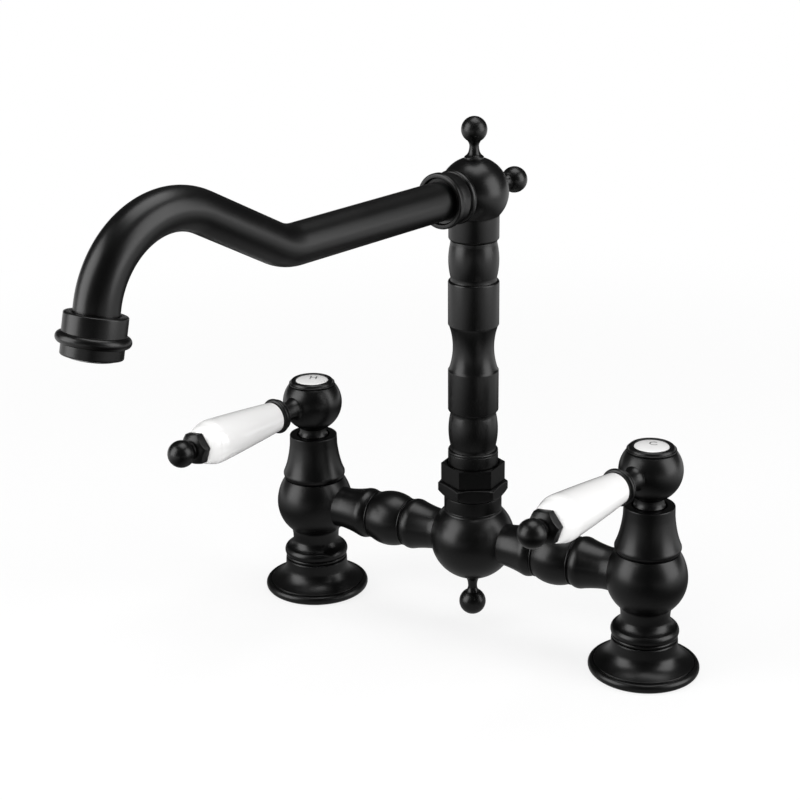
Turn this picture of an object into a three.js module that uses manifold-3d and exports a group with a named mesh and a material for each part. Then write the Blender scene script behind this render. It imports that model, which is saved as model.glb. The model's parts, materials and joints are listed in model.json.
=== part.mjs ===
// Bridge kitchen faucet: two quarter-turn pillar valves, a bridge between them and a swivel spout.
// Millimetres, +Z up. The origin is on the deck, midway between the two posts, under the riser.
// The hot side is -X, the cold side is +X and the user stands on the -Y side.
import * as THREE from 'three';
import { mergeVertices } from 'three/addons/utils/BufferGeometryUtils.js';
import Module from 'manifold-3d';

const wasm = await Module();
wasm.setup();

// ---------------------------------------------------------------- driving dimensions

const postSpacing = 200; // between the two post axes
const bridgeHeight = 51.5; // axis of the arms above the deck
const fit = 0.3; // gap left between neighbouring pieces
const waterRadius = 4.5; // waterways of the posts and arms

const flange = {
  rimRadius: 28.5,
  rimHeight: 4.8,
  rimRound: 1.6,
  grooveDepth: 0.5,
  throatRadius: 17,
  throatLength: 4.4,
  height: 20.4,
  wall: 3.2,
};
const deckSeal = { thickness: 2.8, width: 10 };
const inlet = { radius: 9.3, depth: 15, wall: 2.9 }; // female thread for the supply tail
const postBead = { radius: 17.5, thickness: 2.8, shoulderRadius: 16.2, shoulderHeight: 5.4 };
const postNeck = { radius: 12.4, height: 31, fillet: 1.4 };
const postBall = { radius: 20.7, halfHeight: 23.1, shoulderRadius: 16.1 };
const boss = { radius: 12.9, height: 7.6 }; // threaded seat of the bonnet
const bonnet = {
  lipRadius: 16.9,
  lipHeight: 3.1,
  lipTaper: 1,
  topRadius: 12.9,
  height: 24.9,
  mouthRadius: 8.9,
  mouthDepth: 4,
};
const cartridge = {
  radius: 9.3,
  seatDepth: 37,
  collarHeight: 2.7,
  hexRadius: 8.6,
  hexHeight: 6,
  neckRadius: 6.5,
  neckHeight: 6,
  chamberRadius: 8.4,
};
const sealRing = { thickness: 3.6, width: 3.4 };
const ceramic = { thickness: 2.8, radius: 7.7, portRadius: 2.1, portOffset: 4.3 };
const spindle = { radius: 3.9, footRadius: 6, footHeight: 2.2, tapDepth: 9 };

const hub = {
  radius: 16.1,
  rise: 18.6, // centre of the ball above the bonnet
  neckRadius: 7.3,
  footRadius: 8.1,
  footDepth: 1.9, // reach of the foot down the bonnet's mouth
  crownRadius: 12.4,
  webThickness: 1.4,
};
const indexRing = { height: 2.4, flange: 0.9, rebateRadius: 9.1, rebateDepth: 1.6, skirtRadius: 7.6 };
const indexDisc = { radius: 8.8, edge: 1, dome: 0.7 };
const handleScrew = { headRadius: 3.4, headHeight: 2.6, shankRadius: 1.9, length: 10 };

const lever = {
  swing: 10, // degrees from straight ahead towards the hot side, both levers alike
  droop: 0.6, // degrees below level
  rodRadius: 2.4,
  rootRadius: 6.4,
  stemRadius: 5.2,
  stemEnd: 25.1,
  innerRing: { radius: 8.6, length: 1.5 },
  ringGap: { radius: 7.6, length: 0.4 },
  outerRing: { radius: 9.6, length: 2.7 },
  spigotRadius: 3.8,
  spigotLength: 8,
};
const grip = { startRadius: 8.2, endRadius: 11.8, length: 54.6, shoulder: 9.7, endFace: 7.4 };
const leverNut = { cornerRadius: 8.9, length: 5.9, dome: 3 };
const leverBall = { radius: 7.1, neckRadius: 4.9, rise: 6.1 }; // rise of its centre beyond the nut

const arm = {
  waistRadius: 10.7,
  waistInset: 22, // every inset is to the axis the arm runs towards
  lipRadius: 13.6,
  lipInset: 34.4,
  lipEnd: 39,
  grooveRadius: 12,
  barrelInset: 40.2,
  barrelEdge: 14.3,
  barrelRadius: 14.6,
  spigotRadius: 8,
  socketInset: 12.6, // socket floor to the axis of the ball
};

const hubBall = { radius: 22.3, neckRadius: 15.1, neckTop: 76.8 }; // body in the middle of the bridge
const throatBoss = { radius: 12.6, height: 2.8 }; // thread of the lock nut
const lockNut = { cornerRadius: 18.4, height: 7, chamfer: 2, footChamfer: 3 };
const glandNut = {
  cornerRadius: 16.7,
  height: 9.8,
  chamfer: 2.6,
  footChamfer: 0.4,
  rebateRadius: 13.9,
  rebateDepth: 1.9,
};
const nutTurn = 3; // degrees, a corner of both nuts from straight ahead towards +X
const thrustWasher = { thickness: 1.4 };
const splitRing = { thickness: 2.2, depth: 1.1, gap: 3.4 };
const oRing = { section: 1.15, spacing: 5.4, firstInset: 4.6 };

const column = {
  radius: 13.05,
  bore: 6.6,
  spigotRadius: 10.4,
  spigotDepth: 19, // below the neck of the middle body
  footHeight: 9.7,
  edge: 1,
  grooveRadius: 11.8,
  grooveWidth: 3.2,
  barrelLength: 17.8,
  lowerDrum: 22.7,
  waistLength: 23.4,
  waistRadius: 10.6,
  upperDrum: 23.8,
  topSpigotRadius: 8.4,
  topSpigotLength: 9,
};
const head = { radius: 17.4, centreAboveColumn: 24.5, skirtRadius: 12.8, bossRadius: 11.6, bossReach: 15.9 };
const finial = { neckRadius: 2.5, baseRadius: 4.9, studRadius: 2.2, studLength: 7 };
const topFinial = { ballRadius: 6.5, rise: 13.7 }; // centre of the ball above the ball it stands on
const backFinial = { ballRadius: 6.7, rise: 15.2 };
const bottomFinial = { ballRadius: 7.1, rise: 15.2 };

const spoutTube = {
  radius: 9.75,
  wall: 1.4,
  swing: 10, // degrees from straight ahead towards the hot side
  levelRun: 127,
  riseAngle: 28,
  lowerBend: 31,
  riseRun: 46.6,
  neckBend: 41.5,
  tipTilt: 13, // degrees the outlet leans away from the riser
  tipRun: 20.3,
};
const collar = {
  radius: 13.9,
  bandRadius: 13.3,
  grooveRadius: 12.4,
  start: 13.6,
  ring: 3.8,
  groove: 1.3,
  band: 5.6,
  lip: 3.1,
  mouthRadius: 11.4,
  mouthDepth: 1.8,
};
const nozzle = {
  radius: 13.4,
  topLength: 8.2,
  beadRadius: 15.7,
  beadHalf: 2.4,
  skirtRadius: 13.1,
  skirtLength: 4.9,
  mouthRadius: 10.4,
  edge: 0.8,
};
const aerator = { radius: 10, wall: 1.1, height: 6.6, proud: 0.9, screen: 0.8, screenInset: 2.2 };
const aeratorWasher = { thickness: 1.6, width: 2.2 };

const roundSides = 14; // sides of large turned pieces and of every bore that a round piece turns in
const midSides = 12; // sides of slender turned pieces
const smallSides = 10; // sides of small turned pieces
const portSides = 8; // sides of the waterways

// ---------------------------------------------------------------- materials

const finish = (color, roughness, metalness) =>
  new THREE.MeshStandardMaterial({ color, roughness, metalness });
const black = () => finish(0x1c1c1d, 0.42, 0.3);
const porcelain = () => finish(0xf4f4f2, 0.12, 0);
const brass = () => finish(0xb8923f, 0.35, 1);
const ceramicWhite = () => finish(0xe4e0d6, 0.3, 0);
const rubber = () => finish(0x202020, 0.85, 0);
const steel = () => finish(0xc9cbcd, 0.22, 1);
const nylon = () => finish(0xdedbd2, 0.55, 0);

// ---------------------------------------------------------------- shape helpers

const radians = THREE.MathUtils.degToRad;
const up = new THREE.Vector3(0, 0, 1);

// Points of a profile are (radius, height). These give one corner, an arc and a bowed stretch.
const corner = (r, z) => [new THREE.Vector2(r, z)];
function arc(r, z, radiusR, radiusZ, from, to, steps) {
  return new THREE.EllipseCurve(r, z, radiusR, radiusZ, from, to, to < from).getPoints(steps);
}
function bow(startR, startZ, pullR, pullZ, endR, endZ, steps) {
  const start = new THREE.Vector2(startR, startZ);
  const pull = new THREE.Vector2(pullR, pullZ);
  return new THREE.QuadraticBezierCurve(start, pull, new THREE.Vector2(endR, endZ)).getPoints(steps);
}

// A round bulge or hollow through two points of equal radius, by its depth.
function swell(r, fromZ, toZ, depth, steps) {
  const half = (toZ - fromZ) / 2;
  const radius = (half * half + depth * depth) / (2 * Math.abs(depth));
  const reach = Math.asin(half / radius);
  const side = Math.sign(depth);
  const centreR = r + depth - side * radius;
  const middle = side > 0 ? 0 : Math.PI;
  return arc(centreR, (fromZ + toZ) / 2, radius, radius, middle - side * reach, middle + side * reach, steps);
}

function withoutRepeats(points) {
  return points.filter((point, i) => i === 0 || point.distanceTo(points[i - 1]) > 0.02);
}

// Shared vertices are merged, flat triangles dropped and the faces turned outwards.
function closed(geometry) {
  geometry.deleteAttribute('normal');
  geometry.deleteAttribute('uv');
  const merged = mergeVertices(geometry, 1e-4);
  const corners = merged.attributes.position;
  const source = merged.index.array;
  const kept = [];
  let volume = 0;
  const a = new THREE.Vector3();
  const b = new THREE.Vector3();
  const c = new THREE.Vector3();
  for (let i = 0; i < source.length; i += 3) {
    const [p, q, r] = [source[i], source[i + 1], source[i + 2]];
    if (p === q || q === r || r === p) continue;
    kept.push(p, q, r);
    a.fromBufferAttribute(corners, p);
    b.fromBufferAttribute(corners, q);
    c.fromBufferAttribute(corners, r);
    volume += a.dot(b.cross(c));
  }
  if (volume < 0) kept.reverse();
  merged.setIndex(kept);
  return merged;
}

// A turned solid about Z. The profile starts and ends on the axis, or `ring` closes it on itself.
function turned(profile, sides = roundSides, ring = false) {
  const points = withoutRepeats(profile.flat());
  if (ring) points.push(points[0].clone());
  return closed(new THREE.LatheGeometry(points, sides).rotateX(Math.PI / 2));
}
const turnedRing = (profile, sides) => turned(profile, sides, true);
const rod = (radius, from, to, sides = smallSides) =>
  turned([corner(0, from), corner(radius, from), corner(radius, to), corner(0, to)], sides);
const washer = (inner, outer, from, to, sides = roundSides) =>
  turnedRing([corner(inner, from), corner(outer, from), corner(outer, to), corner(inner, to)], sides);

function toManifold(geometry) {
  const positions = new Float32Array(geometry.attributes.position.array);
  const triangles = new Uint32Array(geometry.index.array);
  return new wasm.Manifold(new wasm.Mesh({ numProp: 3, vertProperties: positions, triVerts: triangles }));
}
function fromManifold(solid) {
  const mesh = solid.getMesh();
  const geometry = new THREE.BufferGeometry();
  geometry.setAttribute('position', new THREE.BufferAttribute(new Float32Array(mesh.vertProperties), 3));
  geometry.setIndex(new THREE.BufferAttribute(new Uint32Array(mesh.triVerts), 1));
  return geometry;
}
// A ball that clears the facets of a turned ball of this radius, whichever way it lies.
function clearSphere(radius) {
  const reach = (radius + fit) / Math.cos(Math.PI / midSides);
  return turned([arc(0, 0, reach, reach, -Math.PI / 2, Math.PI / 2, midSides)], midSides);
}
const cut = (geometry, ...tools) =>
  fromManifold(tools.reduce((solid, tool) => solid.subtract(toManifold(tool)), toManifold(geometry)));
const join = (geometry, ...others) =>
  fromManifold(others.reduce((solid, other) => solid.add(toManifold(other)), toManifold(geometry)));
const common = (geometry, other) => fromManifold(toManifold(geometry).intersect(toManifold(other)));

// Turns a piece modelled along Z to lie along +X.
const alongX = (geometry) => geometry.rotateY(Math.PI / 2);

function hexPrism(cornerRadius, height) {
  const outline = new THREE.Shape();
  for (let i = 0; i < 6; i += 1) {
    const angle = (i * Math.PI) / 3;
    const place = [cornerRadius * Math.cos(angle), cornerRadius * Math.sin(angle)];
    if (i === 0) outline.moveTo(...place);
    else outline.lineTo(...place);
  }
  return closed(new THREE.ExtrudeGeometry(outline, { depth: height, bevelEnabled: false }));
}

// A hexagon nut with both rims turned off to a chamfer.
function hexNut(nut, boreRadius) {
  const flat = nut.cornerRadius * Math.cos(Math.PI / 6);
  const rim = flat + (nut.cornerRadius - flat) * 0.15;
  const full = nut.cornerRadius + 0.1;
  const blank = turned([
    corner(0, 0),
    corner(rim, 0),
    corner(full, nut.footChamfer),
    corner(full, nut.height - nut.chamfer),
    corner(rim, nut.height),
    corner(0, nut.height),
  ]);
  const nutBody = common(hexPrism(nut.cornerRadius, nut.height), blank);
  return cut(nutBody, rod(boreRadius, -1, nut.height + 1, roundSides));
}

const model = new THREE.Group();
function add(parent, name, geometry, material) {
  const mesh = new THREE.Mesh(geometry, material);
  mesh.name = name;
  parent.add(mesh);
  return mesh;
}

// ---------------------------------------------------------------- heights that follow from the sizes

const postHalf = postSpacing / 2;
const tailRadius = inlet.radius + inlet.wall;
const shoulderZ = bridgeHeight + ellipseHeight(postBall.shoulderRadius);
const bossTop = shoulderZ + boss.height;
const seatZ = bossTop - cartridge.seatDepth;
const bonnetZ = shoulderZ + fit;
const bonnetTop = bonnetZ + bonnet.height;
const sealZ = seatZ + fit;
const cartridgeZ = sealZ + sealRing.thickness + fit;
const fixedDiscZ = cartridgeZ + fit;
const movingDiscZ = fixedDiscZ + ceramic.thickness + fit;
const spindleZ = movingDiscZ + ceramic.thickness + fit;
const chamberTop = bridgeHeight + waterRadius; // the outlet window is level with the arm
const cartridgeFlangeZ = bossTop + fit;
const cartridgeTop = cartridgeFlangeZ + cartridge.collarHeight + cartridge.hexHeight + cartridge.neckHeight;
const hubZ = bonnetTop + hub.rise;
const crownZ = hubZ + Math.sqrt(hub.radius ** 2 - hub.crownRadius ** 2);
const screwSeat = crownZ - handleScrew.headHeight - fit - indexRing.rebateDepth;
const spindleTop = screwSeat - hub.webThickness - fit;

const lockNutZ = hubBall.neckTop + fit;
const throatTop = hubBall.neckTop + throatBoss.height;
const glandNutZ = lockNutZ + lockNut.height + fit;
const glandTop = glandNutZ + glandNut.height;
const splitRingZ = throatTop + fit;
const washerZ = glandNutZ - fit - thrustWasher.thickness;
const spigotFoot = hubBall.neckTop - column.spigotDepth;
const columnFoot = glandTop - glandNut.rebateDepth + fit;
const throatRadius = column.spigotRadius + fit + 0.1;

function ellipseHeight(r) {
  return postBall.halfHeight * Math.sqrt(1 - (r / postBall.radius) ** 2);
}

// ---------------------------------------------------------------- posts

function baseFlange() {
  const f = flange;
  const groove = f.rimRadius - f.rimRound + 0.4;
  const bore = tailRadius + fit;
  const recess = bore + deckSeal.width + fit;
  const throatZ = f.height - f.throatLength;
  return turnedRing([
    corner(recess, 0),
    arc(f.rimRadius - f.rimRound, f.rimRound, f.rimRound, f.rimRound, -Math.PI / 2, 0, 1),
    arc(f.rimRadius - f.rimRound, f.rimHeight - f.rimRound, f.rimRound, f.rimRound, 0, Math.PI / 2, 2),
    corner(groove - f.grooveDepth, f.rimHeight - f.grooveDepth / 2),
    bow(groove - 2 * f.grooveDepth, f.rimHeight + f.grooveDepth, f.throatRadius + 0.4, f.rimHeight + f.wall,
      f.throatRadius + 0.2, throatZ, 4),
    corner(f.throatRadius, f.height - 0.9),
    corner(f.throatRadius - 0.8, f.height),
    corner(bore, f.height),
    corner(bore, f.height - f.wall * 2),
    corner(recess, deckSeal.thickness + 2 * fit),
  ]);
}

function postSeal() {
  const bore = tailRadius + fit;
  return washer(bore, bore + deckSeal.width, 0, deckSeal.thickness);
}

const postBallProfile = (extra, fromZ, toZ, steps) => {
  const angle = (z) => Math.asin(THREE.MathUtils.clamp((z - bridgeHeight) / postBall.halfHeight, -1, 1));
  return arc(0, bridgeHeight, postBall.radius + extra, postBall.halfHeight + extra,
    angle(fromZ), angle(toZ), steps);
};

// Threaded bush that hangs from the pillar, through the flange, and takes the supply tail.
const inletBush = () => washer(inlet.radius, tailRadius, 0, flange.height);

// Spigot, bead, neck and ball in one turning, bored through from the spigot to the cartridge seat.
function pillarBody() {
  const b = postBead;
  const foot = flange.height + fit;
  const half = b.thickness / 2;
  const shoulder = foot + b.shoulderHeight;
  const spigot = inlet.radius - fit;
  const ballFoot = bridgeHeight - ellipseHeight(postNeck.radius + postNeck.fillet);
  const turning = turnedRing([
    corner(waterRadius, inlet.depth + fit),
    corner(spigot, inlet.depth + fit),
    corner(spigot, foot),
    arc(b.radius - half, foot + half, half, half, -Math.PI / 2, Math.PI / 2, 3),
    corner(b.shoulderRadius, shoulder - half),
    bow(b.shoulderRadius - 0.1, shoulder, postNeck.radius + 0.1, shoulder + 0.8,
      postNeck.radius, postNeck.height, 2),
    postBallProfile(0, ballFoot, shoulderZ, 6),
    corner(boss.radius, shoulderZ),
    corner(boss.radius, bossTop),
    corner(cartridge.radius + fit, bossTop),
    corner(cartridge.radius + fit, seatZ),
    corner(waterRadius, seatZ),
  ]);
  const socket = alongX(rod(arm.spigotRadius + fit, arm.socketInset, postBall.radius + 5, roundSides));
  const port = alongX(rod(waterRadius, 0, arm.socketInset + 1, portSides));
  socket.translate(0, 0, bridgeHeight);
  port.translate(0, 0, bridgeHeight);
  return cut(turning, socket, port);
}

function bonnetShell() {
  const b = bonnet;
  const thread = boss.radius + fit;
  const inner = cartridge.radius + fit + 2;
  const lipTop = bonnetZ + b.lipHeight;
  return turnedRing([
    corner(thread, bonnetZ),
    corner(b.lipRadius - b.lipTaper, bonnetZ),
    corner(b.lipRadius, lipTop - b.lipTaper),
    corner(b.lipRadius - 0.3, lipTop),
    bow(b.lipRadius - b.lipTaper, lipTop + 0.1, b.topRadius + 1, bonnetZ + b.height * 0.36,
      b.topRadius + 0.2, bonnetZ + b.height * 0.74, 3),
    corner(b.topRadius, bonnetTop - 0.8),
    corner(b.topRadius - 0.6, bonnetTop),
    corner(b.mouthRadius, bonnetTop),
    corner(b.mouthRadius, bonnetTop - b.mouthDepth),
    corner(inner, bonnetTop - b.mouthDepth * 2),
    corner(inner, bossTop + fit),
    corner(thread, bossTop + fit),
  ]);
}

function cartridgeBody() {
  const c = cartridge;
  const bore = spindle.radius + fit;
  const hexZ = cartridgeFlangeZ + c.collarHeight;
  const neckZ = hexZ + c.hexHeight;
  const body = turnedRing([
    corner(c.chamberRadius, cartridgeZ),
    corner(c.radius, cartridgeZ),
    corner(c.radius, cartridgeFlangeZ),
    corner(c.radius + 1.8, cartridgeFlangeZ),
    corner(c.radius + 1.8, hexZ),
    corner(c.hexRadius * Math.cos(Math.PI / 6) - 0.2, hexZ),
    corner(c.neckRadius, neckZ),
    corner(c.neckRadius, cartridgeTop),
    corner(bore, cartridgeTop),
    corner(bore, chamberTop),
    corner(c.chamberRadius, chamberTop),
  ], smallSides);
  const hexagon = hexPrism(c.hexRadius, c.hexHeight - 0.4).translate(0, 0, hexZ + 0.2);
  const hexRing = cut(hexagon, rod(bore, hexZ - 1, neckZ + 1));
  const outletWindow = alongX(rod(waterRadius - 1, 0, c.radius + 2, portSides));
  return cut(join(body, hexRing), outletWindow.translate(0, 0, bridgeHeight));
}

// Both discs have two round ports; the moving one is a quarter turn on, so the valve is shut.
function ceramicDisc(bottom, turn) {
  const disc = rod(ceramic.radius, bottom, bottom + ceramic.thickness);
  const port = () => rod(ceramic.portRadius, bottom - 1, bottom + ceramic.thickness + 1, portSides);
  const ports = [-1, 1].map((side) => port().translate(side * ceramic.portOffset, 0, 0));
  return cut(disc, ...ports).rotateZ(turn);
}

function spindleShaft() {
  const foot = spindleZ + spindle.footHeight;
  return turned([
    corner(0, spindleZ),
    corner(spindle.footRadius, spindleZ),
    corner(spindle.footRadius, foot),
    corner(spindle.radius, foot),
    corner(spindle.radius, spindleTop),
    corner(handleScrew.shankRadius + fit, spindleTop),
    corner(handleScrew.shankRadius + fit, spindleTop - spindle.tapDepth),
    corner(0, spindleTop - spindle.tapDepth),
  ], smallSides);
}

// ---------------------------------------------------------------- handles

const leverDirection = new THREE.Vector3(0, -1, -Math.tan(radians(lever.droop)))
  .normalize()
  .applyAxisAngle(up, -radians(lever.swing));
const leverTurn = new THREE.Quaternion().setFromUnitVectors(up, leverDirection);

const hubBallProfile = (from, to, steps) =>
  arc(0, 0, hub.radius, hub.radius, Math.asin(from / hub.radius), Math.asin(to / hub.radius), steps);

// Heights in here are measured from the centre of the ball.
function handleHub() {
  const foot = -hub.rise - hub.footDepth;
  const ballFoot = -Math.sqrt(hub.radius ** 2 - hub.neckRadius ** 2);
  const crown = crownZ - hubZ;
  const web = screwSeat - hubZ;
  const bore = spindle.radius + fit;
  const shank = handleScrew.shankRadius + fit;
  const pocket = handleScrew.headRadius + 2 * fit;
  const turning = turnedRing([
    corner(bore, foot),
    corner(hub.footRadius - 0.4, foot),
    corner(hub.footRadius, foot + 0.4),
    bow(hub.footRadius - 0.1, -hub.rise, hub.neckRadius - 0.2, -hub.rise + 1,
      hub.neckRadius - 0.1, ballFoot - 0.2, 2),
    hubBallProfile(ballFoot, crown, 6),
    corner(indexRing.skirtRadius, crown),
    corner(indexRing.skirtRadius, crown - indexRing.rebateDepth),
    corner(pocket, crown - indexRing.rebateDepth),
    corner(pocket, web),
    corner(shank, web),
    corner(shank, web - hub.webThickness),
    corner(bore, web - hub.webThickness),
  ], midSides);
  const depth = hub.radius - lever.spigotLength - fit;
  const socket = rod(lever.spigotRadius + fit, depth, hub.radius + 2);
  socket.applyQuaternion(leverTurn);
  return cut(turning, socket);
}

// Black ring that screws into the crown and carries the white disc.
function indexCap() {
  const skirt = indexRing.skirtRadius - fit;
  const foot = crownZ + fit;
  const top = foot + indexRing.height;
  return turned([
    corner(0, foot - indexRing.rebateDepth),
    corner(skirt, foot - indexRing.rebateDepth),
    corner(skirt, foot),
    corner(hub.crownRadius - 0.2, foot),
    corner(hub.crownRadius, foot + indexRing.flange / 2),
    corner(hub.crownRadius - 0.2, foot + indexRing.flange),
    bow(hub.crownRadius - 0.8, foot + indexRing.flange + 0.1, hub.crownRadius - 1.2, top,
      indexRing.rebateRadius + 1, top, 2),
    corner(indexRing.rebateRadius, top),
    corner(indexRing.rebateRadius, top - indexRing.rebateDepth),
    corner(0, top - indexRing.rebateDepth),
  ], midSides);
}

function indexButton() {
  const seat = crownZ + fit + indexRing.height - indexRing.rebateDepth + fit;
  const edge = seat + indexDisc.edge;
  return turned([
    corner(0, seat),
    corner(indexDisc.radius, seat),
    bow(indexDisc.radius, edge, indexDisc.radius * 0.55, edge + indexDisc.dome, 0, edge + indexDisc.dome, 2),
  ], midSides);
}

function capScrew() {
  const s = handleScrew;
  return turned([
    corner(0, screwSeat + fit - s.length),
    corner(s.shankRadius, screwSeat + fit - s.length),
    corner(s.shankRadius, screwSeat + fit),
    corner(s.headRadius, screwSeat + fit),
    corner(s.headRadius, screwSeat + fit + s.headHeight - 1),
    corner(s.headRadius - 0.6, screwSeat + fit + s.headHeight - 0.6),
    corner(0, screwSeat + fit + s.headHeight - 0.6),
  ], smallSides);
}

// Distances along the lever are measured from the centre of the hub ball.
const innerRingEnd = lever.stemEnd + lever.innerRing.length;
const outerRingStart = innerRingEnd + lever.ringGap.length;
const leverCollarEnd = outerRingStart + lever.outerRing.length;
const gripStart = leverCollarEnd + fit;
const gripEnd = gripStart + grip.length;
const nutStart = gripEnd + fit;
const rodStart = lever.stemEnd - 4;
const rodEnd = nutStart + leverNut.length * 0.6;

function leverCollar() {
  const root = hub.radius - 3;
  const spigot = hub.radius - lever.spigotLength;
  const ringRound = lever.outerRing.length / 2;
  const body = turned([
    corner(0, root),
    corner(lever.rootRadius, root),
    bow(lever.rootRadius, hub.radius - 1.2, lever.stemRadius, hub.radius,
      lever.stemRadius, hub.radius + 3, 2),
    corner(lever.stemRadius, lever.stemEnd - 0.2),
    corner(lever.innerRing.radius - 0.4, lever.stemEnd),
    corner(lever.innerRing.radius, lever.stemEnd + lever.innerRing.length / 2),
    corner(lever.innerRing.radius - 0.4, innerRingEnd),
    corner(lever.ringGap.radius, innerRingEnd + 0.1),
    corner(lever.ringGap.radius, outerRingStart - 0.1),
    arc(lever.outerRing.radius - ringRound, outerRingStart + ringRound, ringRound, ringRound,
      -Math.PI / 2, Math.PI / 2, 3),
    corner(0, leverCollarEnd),
  ], smallSides);
  const clearBall = clearSphere(hub.radius);
  const peg = rod(lever.spigotRadius, spigot, root + 5);
  return cut(join(cut(body, clearBall), peg), rod(lever.rodRadius + fit, rodStart - fit, leverCollarEnd + 1));
}

function leverGrip() {
  const g = grip;
  const bore = lever.rodRadius + fit;
  const widest = gripEnd - g.shoulder;
  return turnedRing([
    corner(bore, gripStart),
    corner(g.startRadius - 0.8, gripStart),
    corner(g.startRadius, gripStart + 0.9),
    bow(g.startRadius + 0.1, gripStart + 4, g.endRadius - 0.9, widest - 19, g.endRadius - 0.1, widest - 2, 3),
    bow(g.endRadius, widest + 0.5, g.endRadius + 0.1, gripEnd - 2.2, g.endFace, gripEnd, 4),
    corner(bore, gripEnd),
  ], midSides);
}

// Domed hexagon, groove and ball in one piece, tapped for the lever rod.
function leverFinial() {
  const n = leverNut;
  const nutEnd = nutStart + n.length;
  const flat = n.cornerRadius * Math.cos(Math.PI / 6);
  const blank = turned([
    corner(0, nutStart),
    corner(n.cornerRadius + 0.1, nutStart),
    corner(n.cornerRadius + 0.1, nutEnd - n.dome),
    bow(n.cornerRadius - 0.2, nutEnd - n.dome + 0.2, flat - 0.6, nutEnd - 0.4,
      leverBall.neckRadius, nutEnd, 2),
    corner(0, nutEnd),
  ], midSides);
  const hexagon = hexPrism(n.cornerRadius, n.length).translate(0, 0, nutStart);
  const neckAngle = Math.acos(leverBall.neckRadius / leverBall.radius);
  const knob = turned([
    corner(0, nutEnd - 0.5),
    corner(leverBall.neckRadius, nutEnd - 0.5),
    arc(0, nutEnd + leverBall.rise, leverBall.radius, leverBall.radius, -neckAngle, Math.PI / 2, 6),
  ], smallSides);
  return cut(join(common(hexagon, blank), knob), rod(lever.rodRadius + fit, nutStart - 1, rodEnd + fit));
}

// ---------------------------------------------------------------- bridge

const middleBallProfile = (extra, from, to, steps) => {
  const radius = hubBall.radius + extra;
  const angle = (z) => Math.asin(THREE.MathUtils.clamp((z - bridgeHeight) / radius, -1, 1));
  return arc(0, bridgeHeight, radius, radius, angle(from), angle(to), steps);
};

function middleBody() {
  const studTop = bridgeHeight - hubBall.radius + finial.studLength + 2;
  const studHole = finial.studRadius + fit;
  const chamberFloor = bridgeHeight - waterRadius - 1;
  const ballFoot = bridgeHeight - Math.sqrt(hubBall.radius ** 2 - studHole ** 2);
  const ballTop = bridgeHeight + Math.sqrt(hubBall.radius ** 2 - hubBall.neckRadius ** 2);
  const turning = turned([
    corner(0, studTop),
    corner(studHole, studTop),
    middleBallProfile(0, ballFoot, ballTop, 7),
    corner(hubBall.neckRadius, hubBall.neckTop - 0.6),
    corner(hubBall.neckRadius - 0.6, hubBall.neckTop),
    corner(throatBoss.radius, hubBall.neckTop),
    corner(throatBoss.radius, throatTop),
    corner(throatRadius, throatTop),
    corner(throatRadius, spigotFoot - fit),
    corner(column.bore, spigotFoot - fit),
    corner(column.bore, chamberFloor),
    corner(0, chamberFloor),
  ]);
  const tools = [-1, 1].flatMap((side) => [
    alongX(rod(arm.spigotRadius + fit, arm.socketInset, hubBall.radius + 5, roundSides)),
    alongX(rod(waterRadius, 0, arm.socketInset + 1, portSides)),
  ].map((tool) => tool.scale(side, side, 1).translate(0, 0, bridgeHeight)));
  return cut(turning, ...tools);
}

// Modelled along Z from the middle of the bridge to the post, then laid along +X.
function bridgeArm() {
  const a = arm;
  const armGap = 2 * fit;
  const mirrored = (inset) => postHalf - inset;
  const bell = (at) => [
    corner(a.waistRadius + 0.2, at(a.socketInset + 2)),
    bow(a.waistRadius, at(a.waistInset), a.waistRadius + 0.7, at(a.lipInset - 6.4),
      a.lipRadius - 0.3, at(a.lipInset - 1.4), 3),
    corner(a.lipRadius, at(a.lipInset)),
    corner(a.lipRadius, at(a.lipInset + 1.2)),
    corner(a.lipRadius - 0.4, at(a.lipEnd - 0.8)),
    corner(a.lipRadius - 1.3, at(a.lipEnd)),
    corner(a.grooveRadius, at(a.lipEnd + 0.3)),
    corner(a.grooveRadius, at(a.barrelInset - fit)),
  ].flat();
  const outside = turned([
    corner(0, a.socketInset + 2),
    bell((inset) => inset),
    swell(a.barrelEdge, a.barrelInset, mirrored(a.barrelInset), a.barrelRadius - a.barrelEdge, 2),
    bell(mirrored).reverse(),
    corner(0, mirrored(a.socketInset + 2)),
  ], midSides);
  const middleBall = turned([middleBallProfile(armGap, -Infinity, Infinity, 10)]);
  const postBallSolid = turned([postBallProfile(armGap, -Infinity, Infinity, 10)]);
  middleBall.translate(0, 0, -bridgeHeight);
  postBallSolid.translate(postHalf, 0, -bridgeHeight);
  const barrel = cut(alongX(outside), middleBall, postBallSolid);
  const pegs = alongX(rod(a.spigotRadius, a.socketInset + fit, mirrored(a.socketInset + fit), midSides));
  const way = alongX(rod(waterRadius, 0, postHalf, portSides));
  return cut(join(barrel, pegs), way).translate(0, 0, bridgeHeight);
}

// A ball on a flared neck, with a stud. It stands on a ball of the given radius about its origin.
function finialPiece(knob, seatRadius) {
  const f = finial;
  const seat = seatRadius + fit;
  const surface = (r) => Math.sqrt(seat ** 2 - r ** 2);
  const foot = surface(f.baseRadius);
  const centre = seatRadius + knob.rise;
  const top = centre - knob.ballRadius;
  const neckAngle = Math.acos((f.neckRadius + 0.4) / knob.ballRadius);
  return turned([
    corner(0, seatRadius - f.studLength),
    corner(f.studRadius, seatRadius - f.studLength),
    corner(f.studRadius, surface(f.studRadius)),
    corner(f.baseRadius, foot),
    corner(f.baseRadius, foot + 0.9),
    bow(f.baseRadius - 0.8, foot + 1.4, f.neckRadius, foot + 2.6, f.neckRadius, top - 1.4, 2),
    arc(0, centre, knob.ballRadius, knob.ballRadius, -neckAngle, Math.PI / 2, 6),
  ], smallSides);
}

// ---------------------------------------------------------------- riser and its fastening

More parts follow.
